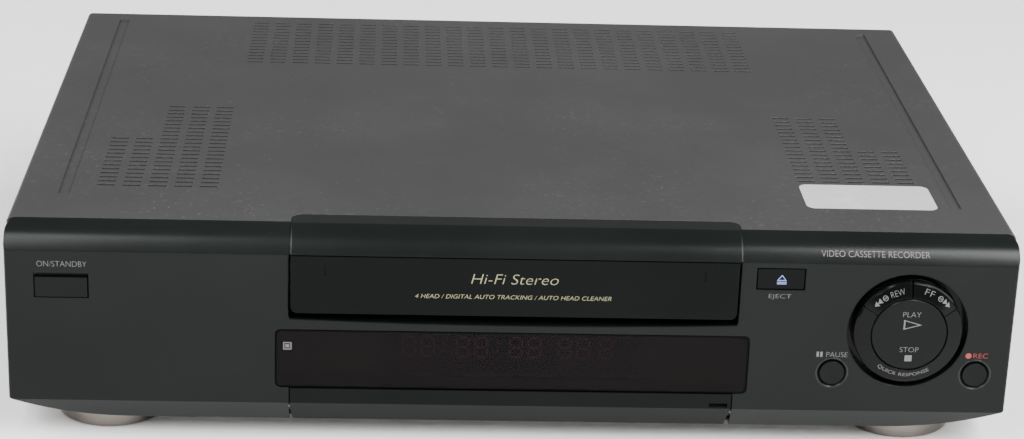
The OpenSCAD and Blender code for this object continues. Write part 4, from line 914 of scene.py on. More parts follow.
class Workshop:
    """Turns shapes into finished pieces that ride on the recorder's bodies."""

    def __init__(self, frame: dict[str, object]) -> None:
        """Keep the loaded frame.
        """
        self.nodes: dict[str, bpy.types.Object] = frame["nodes"]
        self.count = 0

    def piece(self, name: str, mesh: bpy.types.Mesh, finish: Finish, body: str = "case",
              smooth: float = 35.0, hides: Iterable[str] = ()) -> bpy.types.Object:
        """Put a piece in the scene.

        Args:
            name: Name of the piece.
            mesh: Its mesh, in metres.
            finish: Its finish.
            body: The body that it moves with.
            smooth: Angle in degrees under which neighbouring faces shade as one; 0 keeps facets.
            hides: CAD nodes that it stands for.

        Returns:
            The piece.
        """
        made = bpy.data.objects.new(name, mesh)
        bpy.context.scene.collection.objects.link(made)
        mesh.materials.clear()
        mesh.materials.append(finish.material())
        if smooth > 0 and mesh.polygons:
            mesh.shade_smooth()
            mesh.set_sharp_from_angle(angle=math.radians(smooth))
        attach(made, body)
        if hides:
            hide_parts(*hides)
        self.count += 1
        LOG.info("piece %s on %s in %s", name, body, finish.name)
        return made

    def make(self, name: str, shape: Shape, finish: Finish, body: str = "case",
             smooth: float = 35.0, hides: Iterable[str] = ()) -> bpy.types.Object:
        """Finish a shape's mesh and put it in the scene.

        Args:
            name: Name of the piece and its mesh.
            shape: The shape, which is used up.
            finish: Its finish.
            body: The body that it moves with.
            smooth: Angle in degrees under which neighbouring faces shade as one; 0 keeps facets.
            hides: CAD nodes that it stands for.

        Returns:
            The piece.
        """
        return self.piece(name, shape.done(name), finish, body, smooth, hides)

    def dress(self, finish: Finish, *names: str) -> None:
        """Give CAD nodes a finish.

        Args:
            finish: The finish.
            *names: The nodes.
        """
        for name in names:
            node = self.nodes[name]
            if not node.material_slots:
                node.data.materials.append(None)
            for place in node.material_slots:
                place.material = finish.material()
            LOG.info("node %s in %s", name, finish.name)


@dataclass(frozen=True)
class Legend:
    """Words printed inside a box on a surface.

    The box is x0 to x1 and z0 to z1. The words are turned by angle about the box's middle.
    With bend, the line runs along an arc below that point.
    """

    name: str
    words: str
    x0: float
    x1: float
    z0: float
    z1: float
    depth: float = 0.0
    finish: Finish = Finish.INK
    body: str = "case"
    angle: float = 0.0
    slant: float = 0.0
    rear: bool = False
    surface: Callable[[float, float], float] | None = None
    weight: float = -0.016
    bend: Flat | None = None

    def build(self, shop: Workshop) -> bpy.types.Object:
        """Print the words.

        Args:
            shop: The workshop.

        Returns:
            The printed piece.
        """
        curve = bpy.data.curves.new(self.name, "FONT")
        curve.body = self.words
        curve.shear = self.slant
        curve.offset = self.weight
        curve.resolution_u = 4
        holder = bpy.data.objects.new(self.name + ".line", curve)
        bpy.context.scene.collection.objects.link(holder)
        bpy.context.view_layer.update()
        mesh = bpy.data.meshes.new_from_object(holder.evaluated_get(bpy.context.evaluated_depsgraph_get()))
        bpy.data.objects.remove(holder)
        bpy.data.curves.remove(curve)
        xs = [v.co.x for v in mesh.vertices]
        ys = [v.co.y for v in mesh.vertices]
        wide, tall = max(xs) - min(xs), max(ys) - min(ys)
        cx, cz = (self.x0 + self.x1) / 2, (self.z0 + self.z1) / 2
        turn = math.radians(self.angle)
        place = self.surface or flat_y(self.depth)
        lift = PRINT if self.rear else -PRINT
        for v in mesh.vertices:
            x = ((v.co.x - min(xs)) / wide - 0.5) * (self.x1 - self.x0)
            z = ((v.co.y - min(ys)) / tall - 0.5) * (self.z1 - self.z0)
            x, z = x * math.cos(turn) - z * math.sin(turn), x * math.sin(turn) + z * math.cos(turn)
            x = cx + (-x if self.rear else x)
            z = cz + z
            if self.bend:
                radius = self.bend[1] - z
                angle = (x - self.bend[0]) / (self.bend[1] - cz)
                x, z = self.bend[0] + radius * math.sin(angle), self.bend[1] - radius * math.cos(angle)
            v.co = Vector((x * MM, (place(x, z) + lift + FACE_Y) * MM, z * MM))
        mesh.name = self.name
        return shop.piece(self.name, mesh, self.finish, self.body, smooth=0)


# --------------------------------------------------------------- sub-assemblies
@dataclass
class Case:
    """Sheet-metal cover, pan and rear sheet, with their screws and the blank sticker."""

    top: float = 99.0
    label_x: Flat = (128.6, 186.6)
    label_y: Flat = (39.0, 68.6)
    label_corner: float = 4.0
    rear_screws: Sequence[float] = (-190.0, 0.0, 190.0)
    rear_screw_z: float = 93.2
    back: float = 310.0
    screw_head: Sequence[Flat] = ((0.0, 2.35), (1.4, 2.3), (2.5, 2.05), (3.25, 1.5), (3.45, 0.8),
                                  (3.45, 0.02), (0.0, 0.02))
    recess: Flat = (1.7, 0.42)
    washer: Sequence[Flat] = ((3.6, 0.05), (3.6, 0.3), (4.6, 0.3), (4.8, 0.05))

    def build(self, shop: Workshop) -> None:
        """Make and dress the case.

        Args:
            shop: The workshop.
        """
        shop.dress(Finish.COVER, "top_cover")
        shop.dress(Finish.ZINC, "chassis_pan", "rear_panel")
        shop.dress(Finish.SCREW, "case_screws")
        self.sticker(shop)
        self.screws(shop)

    def sticker(self, shop: Workshop) -> None:
        """Lay the blank sticker on the cover."""
        (x0, x1), (y0, y1) = self.label_x, self.label_y
        outline = rounded(x0, x1, y0, y1, self.label_corner, 8)
        sticker = Shape().layer(outline, self.top - 0.1, self.top + 0.05)
        piece = shop.make("cover_sticker", sticker, Finish.LABEL, smooth=30)
        fold = piece.modifiers.new("edge", "BEVEL")
        fold.width, fold.segments = 0.03 * MM, 2

    def screws(self, shop: Workshop) -> None:
        """Put domed heads and washers over the rear screws, with a near-black raised cross on each head that
        paints the shade inside its cross recess.
        """
        heads, cross, washers = Shape(), Shape(), Shape()
        z = self.rear_screw_z
        for x in self.rear_screws:
            heads.lathe(self.screw_head, (x, self.back, z), "Y", 40)
            washers.lathe(self.washer, (x, self.back, z), "Y", 40, closed=True)
            # Near-black blocks in the shape of the cross: painted shade for the recess, not a cut into the
            # head.
            for wide, tall in (self.recess, self.recess[::-1]):
                cross.block((x - wide, self.back + 2.1, z - tall),
                            (x + wide, self.back + 2.42, z + tall), 0.1)
        shop.make("rear_screw_heads", heads, Finish.SCREW)
        shop.make("rear_screw_recess_shade", cross, Finish.RUBBER)
        shop.make("rear_screw_washers", washers, Finish.ZINC)


@dataclass
class FrontFace:
    """Front panel, smoked window, display and everything printed on the panel."""

    band_centre: Flat = (17.06, 81.0)
    band_r: float = 18.7
    window: tuple[float, float, float, float] = (-101.1, 101.1, 27.9, 54.0)
    surround_x: Flat = (-95.0, 96.0)
    surround_proud: float = 1.0
    surround_top: float = 98.83
    surround_back: float = 20.6
    surround_corner: float = 4.5
    rim_r: float = 0.22
    rim_inset: float = 0.12
    pause_xs: Sequence[float] = (130.75, 132.3)
    pause_z: Flat = (45.5, 47.9)
    pause_wide: float = 1.05
    record_dot: tuple[float, float, float] = (196.75, 46.95, 1.3)
    sensor: tuple[float, float, float, float] = (-98.1, -94.5, 45.0, 48.5)
    sensor_line: float = 0.5
    figure_y: Flat = (6.85, 6.97)
    figure_xs: Sequence[float] = (-47.0, -39.0, -24.0, -16.0, -1.0, 7.0, 20.0, 28.0, 38.0)
    figure_foot: float = 40.0
    figure: tuple[float, float, float] = (5.2, 4.5, 0.5)
    colon_xs: Sequence[float] = (-29.5, -6.5)
    colon_zs: Sequence[float] = (42.6, 46.4)
    dash: tuple[float, float, float, float] = (-48.0, -43.4, 50.6, 51.6)
    dash_pitch: float = 7.6

    def band(self, x: float, z: float) -> float:
        """Depth of the rolled band at a height.

        Args:
            x: Across the face; the band is the same all along.
            z: Height.

        Returns:
            The depth.
        """
        return self.band_centre[0] - math.sqrt(max(0.0, self.band_r ** 2 - (z - self.band_centre[1]) ** 2))

    def surround_edge(self) -> list[Point]:
        """Centre line of the surround's rounded rim.

        Returns:
            Points from the lower left end, round the back, to the lower right end.
        """
        x0, x1 = self.surround_x
        y, z = self.band_centre[0] - self.surround_proud, self.band_centre[1]
        rise, bend = self.band_r - self.rim_inset, self.surround_corner - self.rim_inset
        left = [(x0 + self.rim_inset, y - rise * math.cos(math.radians(t)),
                 z + rise * math.sin(math.radians(t))) for t in range(26, 74, 3)]
        corner_x, corner_y = x0 + self.surround_corner, self.surround_back - self.surround_corner
        left += [(corner_x - bend * math.cos(math.radians(t)), corner_y + bend * math.sin(math.radians(t)),
                  self.surround_top) for t in range(0, 91, 10)]
        return left + [(x0 + x1 - a, b, c) for a, b, c in reversed(left)]

    def build(self, shop: Workshop) -> None:
        """Make and dress the front face.

        Args:
            shop: The workshop.
        """
        shop.dress(Finish.PANEL, "front_panel")
        shop.dress(Finish.WINDOW, "display_window")
        shop.dress(Finish.TUBE, "display_module")
        shop.dress(Finish.BOARD_BROWN, "front_board")
        shop.dress(Finish.BLACK, "tact_switches")
        self.printing(shop)
        self.figures(shop)

    def printing(self, shop: Workshop) -> None:
        """Print the words and signs beside the keys."""
        legends = (
            Legend("legend_recorder", "VIDEO CASSETTE RECORDER", 129.7, 176.3, 91.4, 93.6, weight=-0.011,
                   surface=self.band),
            Legend("legend_on_standby", "ON/STANDBY", -201.2, -180.4, 81.6, 84.1),
            Legend("legend_eject", "EJECT", 108.2, 117.8, 71.9, 74.4),
            Legend("legend_pause", "PAUSE", 135.0, 144.2, 45.5, 47.8),
            Legend("legend_record", "REC", 198.9, 205.2, 45.9, 48.1, finish=Finish.INK_RED),
        )
        for legend in legends:
            legend.build(shop)
        flat = flat_y(0.0)
        bars = Shape()
        for x in self.pause_xs:
            bars.draped(oblong(x, x + self.pause_wide, *self.pause_z), flat)
        shop.make("sign_pause", bars, Finish.INK, smooth=0)
        dot = Shape().draped(circle(*self.record_dot, 40), flat)
        shop.make("sign_record", dot, Finish.INK_RED, smooth=0)

    def figures(self, shop: Workshop) -> None:
        """Add the surround's rim, the window's mark, a near-black frame that paints the shadow in the gap
        round the window, and the unlit figures behind it.
        """
        x0, x1, z0, z1 = self.sensor
        t = self.sensor_line
        frame = Shape()
        for box in ((x0, x1, z1 - t, z1), (x0, x1, z0, z0 + t), (x0, x0 + t, z0 + t, z1 - t),
                    (x1 - t, x1, z0 + t, z1 - t), (x0 + 0.9, x1 - 0.9, z0 + 1.0, z1 - 1.0)):
            frame.draped(oblong(*box), flat_y(0.2), FINE_PRINT)
        shop.make("sensor_mark", frame, Finish.INK, smooth=0)
        shop.make("surround_edge", Shape().tube(self.surround_edge(), self.rim_r, 10), Finish.LIP)
        x0, x1, z0, z1 = self.window
        # Near-black frame round the window's edge: painted shade standing in for the shadow in the gap
        # between window and panel.
        outer = rounded(x0 - 0.1, x1 + 0.1, z0 - 0.1, z1 + 0.1, 2.4, 8)
        inner = rounded(x0 + 0.45, x1 - 0.45, z0 + 0.3, z1 - 0.5, 2.0, 8)
        gap_shade_frame = Shape().face_ring([[(x, 0.06, z) for x, z in inner], [(x, 0.06, z) for x, z in outer],
                                  [(x, 0.2, z) for x, z in outer], [(x, 0.2, z) for x, z in inner]],
                                 close_ends=False, wrap=True)
        shop.make("window_gap_shade_frame", gap_shade_frame, Finish.GAP_SHADE, smooth=20)
        digits = Shape()
        for x in self.figure_xs:
            self.digit(digits, x, self.figure_foot)
        for x in self.colon_xs:
            for z in self.colon_zs:
                digits.plate(circle(x, z, 0.55, 12), *self.figure_y)
        x0, x1, z0, z1 = self.dash
        for k in range(12):
            digits.plate(oblong(x0 + k * self.dash_pitch, x1 + k * self.dash_pitch, z0, z1), *self.figure_y)
        shop.make("display_figures", digits, Finish.FIGURE, smooth=0)

    def digit(self, shape: Shape, x: float, z: float) -> None:
        """Add one seven-bar figure.

        Args:
            shape: The shape that gets the bars.
            x: Left side.
            z: Foot.
        """
        wide, tall, t = self.figure
        for level in (0, 1, 2):
            zz = z + level * tall
            shape.plate([(x + t, zz), (x + 2 * t, zz - t), (x + wide - 2 * t, zz - t), (x + wide - t, zz),
                         (x + wide - 2 * t, zz + t), (x + 2 * t, zz + t)], *self.figure_y)
        for side in (x, x + wide):
            for level in (0, 1):
                zz = z + level * tall
                shape.plate([(side, zz + t), (side + t, zz + 2 * t), (side + t, zz + tall - 2 * t),
                             (side, zz + tall - t), (side - t, zz + tall - 2 * t), (side - t, zz + 2 * t)],
                            *self.figure_y)


@dataclass
class CassetteDoor:
    """Hinged flap over the cassette slot, its gold printing and its closing spring."""

    face: float = -1.0
    hinge: Flat = (4.2, 90.3)
    spring_x: Flat = (86.5, 90.3)
    coil_r: float = 1.35
    wire_r: float = 0.2
    coil_turns: int = 7

    def build(self, shop: Workshop) -> None:
        """Make and dress the door.

        Args:
            shop: The workshop.
        """
        shop.dress(Finish.FLAP, "cassette_flap")
        for legend in (
            Legend("gold_stereo", "Hi-Fi Stereo", -18.8, 18.2, 77.3, 81.8, self.face, Finish.INK_GOLD,
                   "cassette_flap", slant=0.22),
            Legend("gold_features", "4 HEAD / DIGITAL AUTO TRACKING / AUTO HEAD CLEANER",
                   -42.4, 41.0, 70.4, 72.3, self.face, Finish.INK_GOLD, "cassette_flap",
                   slant=0.22, weight=-0.008),
        ):
            legend.build(shop)
        self.spring(shop)

    def spring(self, shop: Workshop) -> None:
        """Wind the closing spring with its two legs."""
        y, z = self.hinge
        x0, x1 = self.spring_x
        steps = 14
        span = self.coil_turns * steps
        path: list[Point] = [(x0 + 0.1, y + a, z + b) for a, b in ((7.4, 1.2), (3.5, 1.3), (0.6, 1.35))]
        path += [(x0 + 0.15 + (x1 - x0 - 0.3) * i / span,
                  y + self.coil_r * math.sin(math.tau * i / steps),
                  z + self.coil_r * math.cos(math.tau * i / steps))
                 for i in range(span + 1)]
        path += [(x1 - 0.15, y + a, z + b) for a, b in ((3.5, 1.3), (7.2, 1.3), (7.5, 4.0), (7.5, 6.2))]
        shape = Shape().tube(path, self.wire_r, 8)
        shop.make("flap_spring_coil", shape, Finish.BRIGHT, hides=["flap_spring"])


@dataclass
class Keys:
    """Power, eject, pause and record keys with the eject sign and the round keys' soft lips."""

    round_z: float = 38.1
    round_xs: Sequence[tuple[str, float]] = (("pause_key_lip", 138.0), ("record_key_lip", 200.2))
    well: float = 6.36
    lip: Sequence[Flat] = ((0.0, 0.3), (0.0, 0.2), (0.3, -0.14), (0.4, -0.16), (0.78, 0.0), (0.78, 0.3))
    sign_x: Flat = (111.3, 115.4)
    arrow_z: Flat = (80.5, 83.1)
    arrow_inset: tuple[float, float, float] = (0.55, 0.27, 0.42)
    bar_zs: Sequence[float] = (78.9, 79.65)
    bar_tall: float = 0.3

    def build(self, shop: Workshop) -> None:
        """Dress the keys.

        Args:
            shop: The workshop.
        """
        shop.dress(Finish.KEY, "power_button", "pause_button", "record_button")
        shop.dress(Finish.DARK_KEY, "eject_button")
        face = flat_y(0.3)
        (x0, x1), (foot, tip) = self.sign_x, self.arrow_z
        side, low, high = self.arrow_inset
        middle = (x0 + x1) / 2
        outer = [(x0, foot), (x1, foot), (middle, tip)]
        inner = [(x0 + side, foot + low), (x1 - side, foot + low), (middle, tip - high)]
        sign = Shape().draped_band(outer, inner, face)
        for z in self.bar_zs:
            sign.draped(oblong(x0, x1, z, z + self.bar_tall), face)
        shop.make("sign_eject", sign, Finish.INK_WHITE, "eject_button", smooth=0)
        section = [(self.well + r, y) for r, y in self.lip]
        for name, x in self.round_xs:
            lip = Shape().lathe(section, (x, 0.0, self.round_z), "Y", 72, closed=True)
            shop.make(name, lip, Finish.LIP, smooth=40)


@dataclass
class ControlDial:
    """Ring with the two wind keys and the rocking play and stop disc."""

    centre: Flat = (169.25, 58.2)
    inner: Flat = (16.65, -3.8)
    outer: Flat = (22.75, -2.0)
    disc_face: float = -4.0
    reel_r: Flat = (1.2, 0.92)
    reel_bars: Sequence[float] = (-0.3, 0.12)
    arrow: Flat = (1.95, 1.25)
    play: Sequence[Flat] = ((166.4, 65.1), (166.4, 60.5), (174.4, 62.8))
    play_hollow: float = 0.74
    stop: tuple[float, float, float, float] = (168.1, 171.2, 45.8, 48.6)

    def cone(self, x: float, z: float) -> float:
        """Depth of the ring's sloping face.

        Args:
            x: Across.
            z: Height.

        Returns:
            The depth.
        """
        radius = math.hypot(x - self.centre[0], z - self.centre[1])
        share = (radius - self.inner[0]) / (self.outer[0] - self.inner[0])
        return self.inner[1] + share * (self.outer[1] - self.inner[1])

    def spot(self, radius: float, angle: float) -> Flat:
        """Place a point on the dial.

        Args:
            radius: Distance from the dial's middle.
            angle: Degrees, from the right, turning up.

        Returns:
            Its x and z.
        """
        return (self.centre[0] + radius * math.cos(math.radians(angle)),
                self.centre[1] + radius * math.sin(math.radians(angle)))

    def build(self, shop: Workshop) -> None:
        """Make and dress the dial.

        Args:
            shop: The workshop.
        """
        shop.dress(Finish.DIAL, "control_ring", "rewind_button", "fast_forward_button")
        shop.dress(Finish.KEY, "play_stop_disc")
        self.wind_marks(shop, "rewind_button", "REW", (19.75, 108.6), (19.85, 125.0), (19.86, 136.3), 3.1, 1)
        self.wind_marks(shop, "fast_forward_button", "FF", (20.35, 68.2), (20.45, 53.0), (20.6, 42.6),
                        2.15, -1)
        self.disc_marks(shop)

    def wind_marks(self, shop: Workshop, body: str, words: str, word: Flat, sign: Flat, arrow: Flat,
                   half: float, side: int) -> None:
        """Print one wind key.

        Args:
            shop: The workshop.
            body: The key.
            words: Its name.
            word: Radius and angle of the name.
            sign: Radius and angle of the tape sign.
            arrow: Radius and angle of the arrows.
            half: Half width of the name.
            side: 1 points the arrows back, -1 forward.
        """
        x, z = self.spot(*word)
        Legend(body + "_name", words, x - half, x + half, z - 1.25, z + 1.25, finish=Finish.INK, body=body,
               angle=word[1] - 90, surface=self.cone).build(shop)
        spot = self.spot(*sign)
        outer, inner = (circle(*spot, r, 24) for r in self.reel_r)
        marks = Shape().draped_band(outer, inner, self.cone, FINE_PRINT)
        for low in self.reel_bars:
            bar = oblong(-0.9, 0.9, low, low + 0.2)
            marks.draped(tilted(bar, spot, sign[1] - 90), self.cone, FINE_PRINT)
        spot = self.spot(*arrow)
        long, half_tall = self.arrow
        for shift in (-long, 0.0):
            tail = side * (shift + long)
            corners = [(side * shift, 0.0), (tail, -half_tall), (tail, half_tall)]
            marks.draped(tilted(corners[::side], spot, arrow[1] - 90), self.cone, FINE_PRINT)
        shop.make(body + "_signs", marks, Finish.INK, body, smooth=0)

    def disc_marks(self, shop: Workshop) -> None:
        """Print the play and stop disc."""
        face = self.disc_face
        for legend in (
            Legend("legend_play", "PLAY", 165.8, 173.6, 66.4, 68.75, face, Finish.INK, "play_stop_disc"),
            Legend("legend_stop", "STOP", 165.7, 173.8, 50.1, 52.4, face, Finish.INK, "play_stop_disc"),
            Legend("legend_quick", "QUICK RESPONSE", 156.1, 179.7, 37.9, 40.0, finish=Finish.INK,
                   surface=self.cone, weight=-0.006, bend=self.centre),
        ):
            legend.build(shop)
        signs = Shape()
        mid_x, mid_z = (sum(p[i] for p in self.play) / 3 for i in (0, 1))
        inner = [(mid_x + self.play_hollow * (x - mid_x), mid_z + self.play_hollow * (z - mid_z))
                 for x, z in self.play]
        signs.draped_band(self.play, inner, flat_y(face))
        signs.draped(oblong(*self.stop), flat_y(face))
        shop.make("sign_play_stop", signs, Finish.INK, "play_stop_disc", smooth=0)


@dataclass
class LowerDoor:
    """Drop-down door with the jacks and three keys behind it."""

    jack_xs: Sequence[float] = (-70.0, -54.0, -38.0)
    jack_z: float = 20.7
    collar: Sequence[Flat] = ((1.75, 6.95), (1.75, 9.6), (3.35, 9.6), (3.35, 6.8), (2.4, 6.75))

    def build(self, shop: Workshop) -> None:
        """Make and dress the door and what is behind it.

        Args:
            shop: The workshop.
        """
        shop.dress(Finish.DOOR, "lower_door")
        shop.dress(Finish.KEY, "channel_down_button", "channel_up_button", "input_button")
        shop.dress(Finish.BRASS, "front_jacks")
        for name, x, finish in zip(("video", "audio_left", "audio_right"), self.jack_xs,
                                   (Finish.YELLOW, Finish.WHITE, Finish.RED)):
            collar = Shape().lathe(self.collar, (x, 0.0, self.jack_z), "Y", 40, closed=True)
            shop.make("jack_insulator_" + name, collar, finish)
        for legend in (
            Legend("legend_video", "VIDEO", -73.4, -66.6, 12.6, 14.0, 11.2),
            Legend("legend_audio", "L  AUDIO  R", -56.5, -35.5, 12.6, 14.0, 11.2),
            Legend("legend_channel", "-  CHANNEL  +", 19.6, 40.4, 12.6, 14.0, 11.2),
            Legend("legend_input", "INPUT", 50.6, 57.4, 12.6, 14.0, 11.2),
        ):
            legend.build(shop)


@dataclass
class Feet:
    """Turned champagne feet in front, plain black feet behind, each on a soft ring."""

    xs: Sequence[float] = (-175.0, 175.0)
    front_y: float = 38.8
    front_r: float = 24.0
    rear_y: float = 268.0
    rear_r: float = 18.0
    rib_count: int = 6
    rib_half: float = 0.6
    rib_z: Flat = (4.0, 8.1)

    def build(self, shop: Workshop) -> None:
        """Make and dress the feet.

        Args:
            shop: The workshop.
        """
        shop.dress(Finish.RUBBER, "foot_pads")
        front, rear = Shape(), Shape()
        for x in self.xs:
            front.lathe(self.skirt(self.front_r), (x, self.front_y, 0.0), "Z", 128, closed=True)
            rear.lathe(self.profile(self.rear_r), (x, self.rear_y, 0.0), "Z", 96, closed=True)
        shop.make("front_feet_turned", front, Finish.FOOT, smooth=28, hides=["front_feet"])
        shop.make("rear_feet_moulded", rear, Finish.FOOT_BLACK, smooth=28, hides=["rear_feet"])
        ribs = Shape()
        for x in self.xs:
            for y, r in ((self.front_y, self.front_r), (self.rear_y, self.rear_r)):
                inner, outer, half = 5.1, r - 6.1, self.rib_half
                for k in range(self.rib_count):
                    corners = [(inner, half), (inner, -half), (outer, -half), (outer, half)]
                    ribs.layer(tilted(corners, (x, y), 360 / self.rib_count * k + 30), *self.rib_z)
        shop.make("feet_ribs", ribs, Finish.FOOT_BLACK, smooth=0)

    @staticmethod
    def skirt(r: float) -> list[Flat]:
        """Section of a front foot, whose metal shell comes down round the soft ring.

        Args:
            r: Outer radius.

        Returns:
            Pairs of radius and height.
        """
        shell = [(5.9, 1.5), (1.3, 1.5), (1.3, 0.35), (0.5, 0.35), (0.12, 0.6), (0.0, 1.1)]
        return [(r - inset, z) for inset, z in shell] + Feet.crown(r)

    @staticmethod
    def profile(r: float) -> list[Flat]:
        """Section of a hollow foot.

        Args:
            r: Outer radius.

        Returns:
            Pairs of radius and height.
        """
        shell = [(5.9, 1.5), (1.2, 1.5), (0.5, 1.75), (0.12, 2.3), (0.0, 3.0), (0.0, 3.5), (0.22, 3.62),
                 (0.22, 3.9), (0.0, 4.02)]
        return [(r - inset, z) for inset, z in shell] + Feet.crown(r)

    @staticmethod
    def crown(r: float) -> list[Flat]:
        """Upper part of either foot's section: rounded top, screw hole and hollow.

        Args:
            r: Outer radius.

        Returns:
            Pairs of radius and height.
        """
        return [(r, 10.3), (r - 0.3, 10.75), (r - 0.9, 10.96), (2.1, 10.96), (2.1, 4.5), (5.0, 4.5),
                (5.0, 8.0), (r - 6.0, 8.0), (r - 6.0, 2.2)]


@dataclass
class RearSockets:
    """Socket contacts, plated collars and the generic words beside them."""

    back: float = 310.0
    sheet: float = 309.1
    av_x: float = 62.0
    av_zs: Sequence[float] = (30.0, 52.0)
    phono: Sequence[Flat] = ((18.0, 32.0), (2.0, 32.0), (18.0, 48.0), (2.0, 48.0))
    aerials: Sequence[float] = (127.0, 155.0)
    aerial_z: float = 40.0
    phono_inks: Sequence[Finish] = (Finish.YELLOW, Finish.BLACK, Finish.WHITE, Finish.RED)
    pin_rows: Sequence[Flat] = ((2.9, -17.6), (-2.9, -15.6))
    pin_count: int = 10
    pin_pitch: float = 3.7
    pin_y: Flat = (-8.3, -3.0)
    tongue_half: Flat = (19.5, 1.1)
    insulator: Sequence[Flat] = ((1.7, 7.6), (1.7, 8.0), (3.2, 8.0), (3.3, 7.6))
    sleeve: Sequence[Flat] = ((4.17, -0.6), (4.17, 7.7), (4.28, 7.8), (4.38, 7.6), (4.38, -0.6))
    seat: Sequence[Flat] = ((4.8, -0.6), (4.8, 0.9), (6.6, 0.9), (7.0, 0.4), (7.0, -0.6))

    def build(self, shop: Workshop) -> None:
        """Make and dress the sockets.

        Args:
            shop: The workshop.
        """
        shop.dress(Finish.BLACK, "rear_sockets", "mains_inlet")
        shop.dress(Finish.ZINC, "tuner_unit")
        self.contacts(shop)
        self.collars(shop)
        for legend in self.words():
            legend.build(shop)

    def contacts(self, shop: Workshop) -> None:
        """Set the flat contacts and the tongues inside both multi-pin sockets."""
        shape = Shape()
        for z in self.av_zs:
            for row, start in self.pin_rows:
                for k in range(self.pin_count):
                    x = self.av_x + start + k * self.pin_pitch
                    shape.block((x - 0.35, self.back + self.pin_y[0], z + row - 0.9),
                                (x + 0.35, self.back + self.pin_y[1], z + row + 0.9), 0.12)
        shop.make("av_contacts", shape, Finish.BRASS)
        tongue = Shape()
        for z in self.av_zs:
            wide, tall = self.tongue_half
            tongue.block((self.av_x - wide, self.back + self.pin_y[0], z - tall),
                         (self.av_x + wide, self.back - 1.2, z + tall), 0.3)
        shop.make("av_tongues", tongue, Finish.BLACK)

    def collars(self, shop: Workshop) -> None:
        """Turn the plated sleeves and the coloured insulators of the round sockets."""
        for k, ((x, z), finish) in enumerate(zip(self.phono, self.phono_inks)):
            ring = Shape().lathe(self.insulator, (x, self.back, z), "Y", 32, closed=True)
            shop.make(f"phono_insulator_{k}", ring, finish)
        sleeves = Shape()
        for x, z in self.phono:
            sleeves.lathe(self.sleeve, (x, self.back, z), "Y", 40, closed=True)
        shop.make("phono_sleeves", sleeves, Finish.BRASS)
        seats = Shape()
        for x in self.aerials:
            seats.lathe(self.seat, (x, self.back, self.aerial_z), "Y", 48, closed=True)
        shop.make("aerial_seats", seats, Finish.BRIGHT)

    def words(self) -> list[Legend]:
        """List the words on the rear sheet.

        Returns:
            The legends.
        """
        common = {"depth": self.sheet, "finish": Finish.INK_DARK, "rear": True}
        return [
            Legend("rear_aerial_in", "AERIAL IN", 148.5, 161.5, 50.5, 52.3, **common),
            Legend("rear_aerial_out", "AERIAL OUT", 120.0, 134.0, 50.5, 52.3, **common),
            Legend("rear_av_1", "LINE 1", 57.5, 66.5, 60.6, 62.6, **common),
            Legend("rear_av_2", "LINE 2", 57.5, 66.5, 38.8, 40.8, **common),
            Legend("rear_video", "VIDEO", 14.0, 22.0, 54.0, 55.8, **common),
            Legend("rear_audio", "AUDIO", -2.0, 6.0, 54.0, 55.8, **common),
            Legend("rear_mains", "AC IN", -175.0, -165.0, 46.0, 48.0, **common),
        ]


@dataclass
class Boards:
    """Main and supply boards with their parts, behind the front panel and under the deck."""

    top: float = 16.13
    supply_top: float = 19.6
    ribbon_x: float = 60.0
    ribbon_pitch: float = 1.27
    ribbon_wires: int = 12
    ribbon: Sequence[Flat] = ((60.0, 0.2), (56.0, 0.5), (48.0, 2.4), (38.0, 3.4), (28.0, 4.6), (23.0, 8.0),
                              (21.4, 13.0), (20.4, 17.0))

    def build(self, shop: Workshop) -> None:
        """Make and dress the boards.

        Args:
            shop: The workshop.
        """
        shop.dress(Finish.BOARD_GREEN, "main_board")
        shop.dress(Finish.BOARD_BROWN, "power_supply")
        shop.dress(Finish.BLACK, "main_board_parts")
        shop.dress(Finish.ZINC, "board_screws")
        self.legs(shop)
        self.tops(shop)
        self.wires(shop)

    def legs(self, shop: Workshop) -> None:
        """Solder the pins along the chips' sides."""
        shape = Shape()
        for i in range(3):
            for j in range(2):
                x, y = 132 + i * 24, 76 + j * 34
                for k in range(10):
                    at = x + 1.6 + k * 1.42
                    for side in (y - 1.1, y + 16.1):
                        shape.block((at - 0.22, side, self.top),
                                    (at + 0.22, side + 1.0, self.top + 0.9), 0.08)
        for k in range(20):
            at = -38.6 + k * 1.95
            for side in (58.8, 84.1):
                shape.block((at - 0.3, side, self.top), (at + 0.3, side + 1.1, self.top + 1.2), 0.1)
        shop.make("chip_legs", shape, Finish.BRIGHT)

    def tops(self, shop: Workshop) -> None:
        """Cap the capacitors with rimmed aluminium tops."""
        shape = Shape()
        medium = [(0.0, 14.05), (3.9, 14.05), (4.4, 14.3), (4.75, 14.1), (4.75, 13.6), (0.0, 13.6)]
        small = [(0.0, 9.05), (2.4, 9.05), (2.8, 9.25), (3.0, 9.1), (3.0, 8.8), (0.0, 8.8)]
        large = [(0.0, 32.05), (10.4, 32.05), (11.1, 32.4), (11.7, 32.1), (11.7, 31.6), (0.0, 31.6)]
        supply = [(0.0, 16.05), (4.0, 16.05), (4.4, 16.3), (4.8, 16.1), (4.8, 15.7), (0.0, 15.7)]
        for i in range(4):
            for j in range(2):
                shape.lathe(medium, (130 + i * 19, 176 + j * 22, self.top), "Z", 32)
        for i in range(5):
            shape.lathe(small, (124 + i * 12, 232, self.top), "Z", 28)
        shape.lathe(large, (-180, 210, self.supply_top), "Z", 48)
        for i in range(4):
            shape.lathe(supply, (-190 + i * 16, 108, self.supply_top), "Z", 32)
        shop.make("capacitor_tops", shape, Finish.MOTOR)

    def wires(self, shop: Workshop) -> None:
        """Lay the flat ribbon from the main board up to the front board."""
        shape = Shape()
        for k in range(self.ribbon_wires):
            x = self.ribbon_x + k * self.ribbon_pitch
            shape.tube([(x, y, self.top + z) for y, z in self.ribbon], 0.6, 8)
        shop.make("front_ribbon", shape, Finish.WHITE)


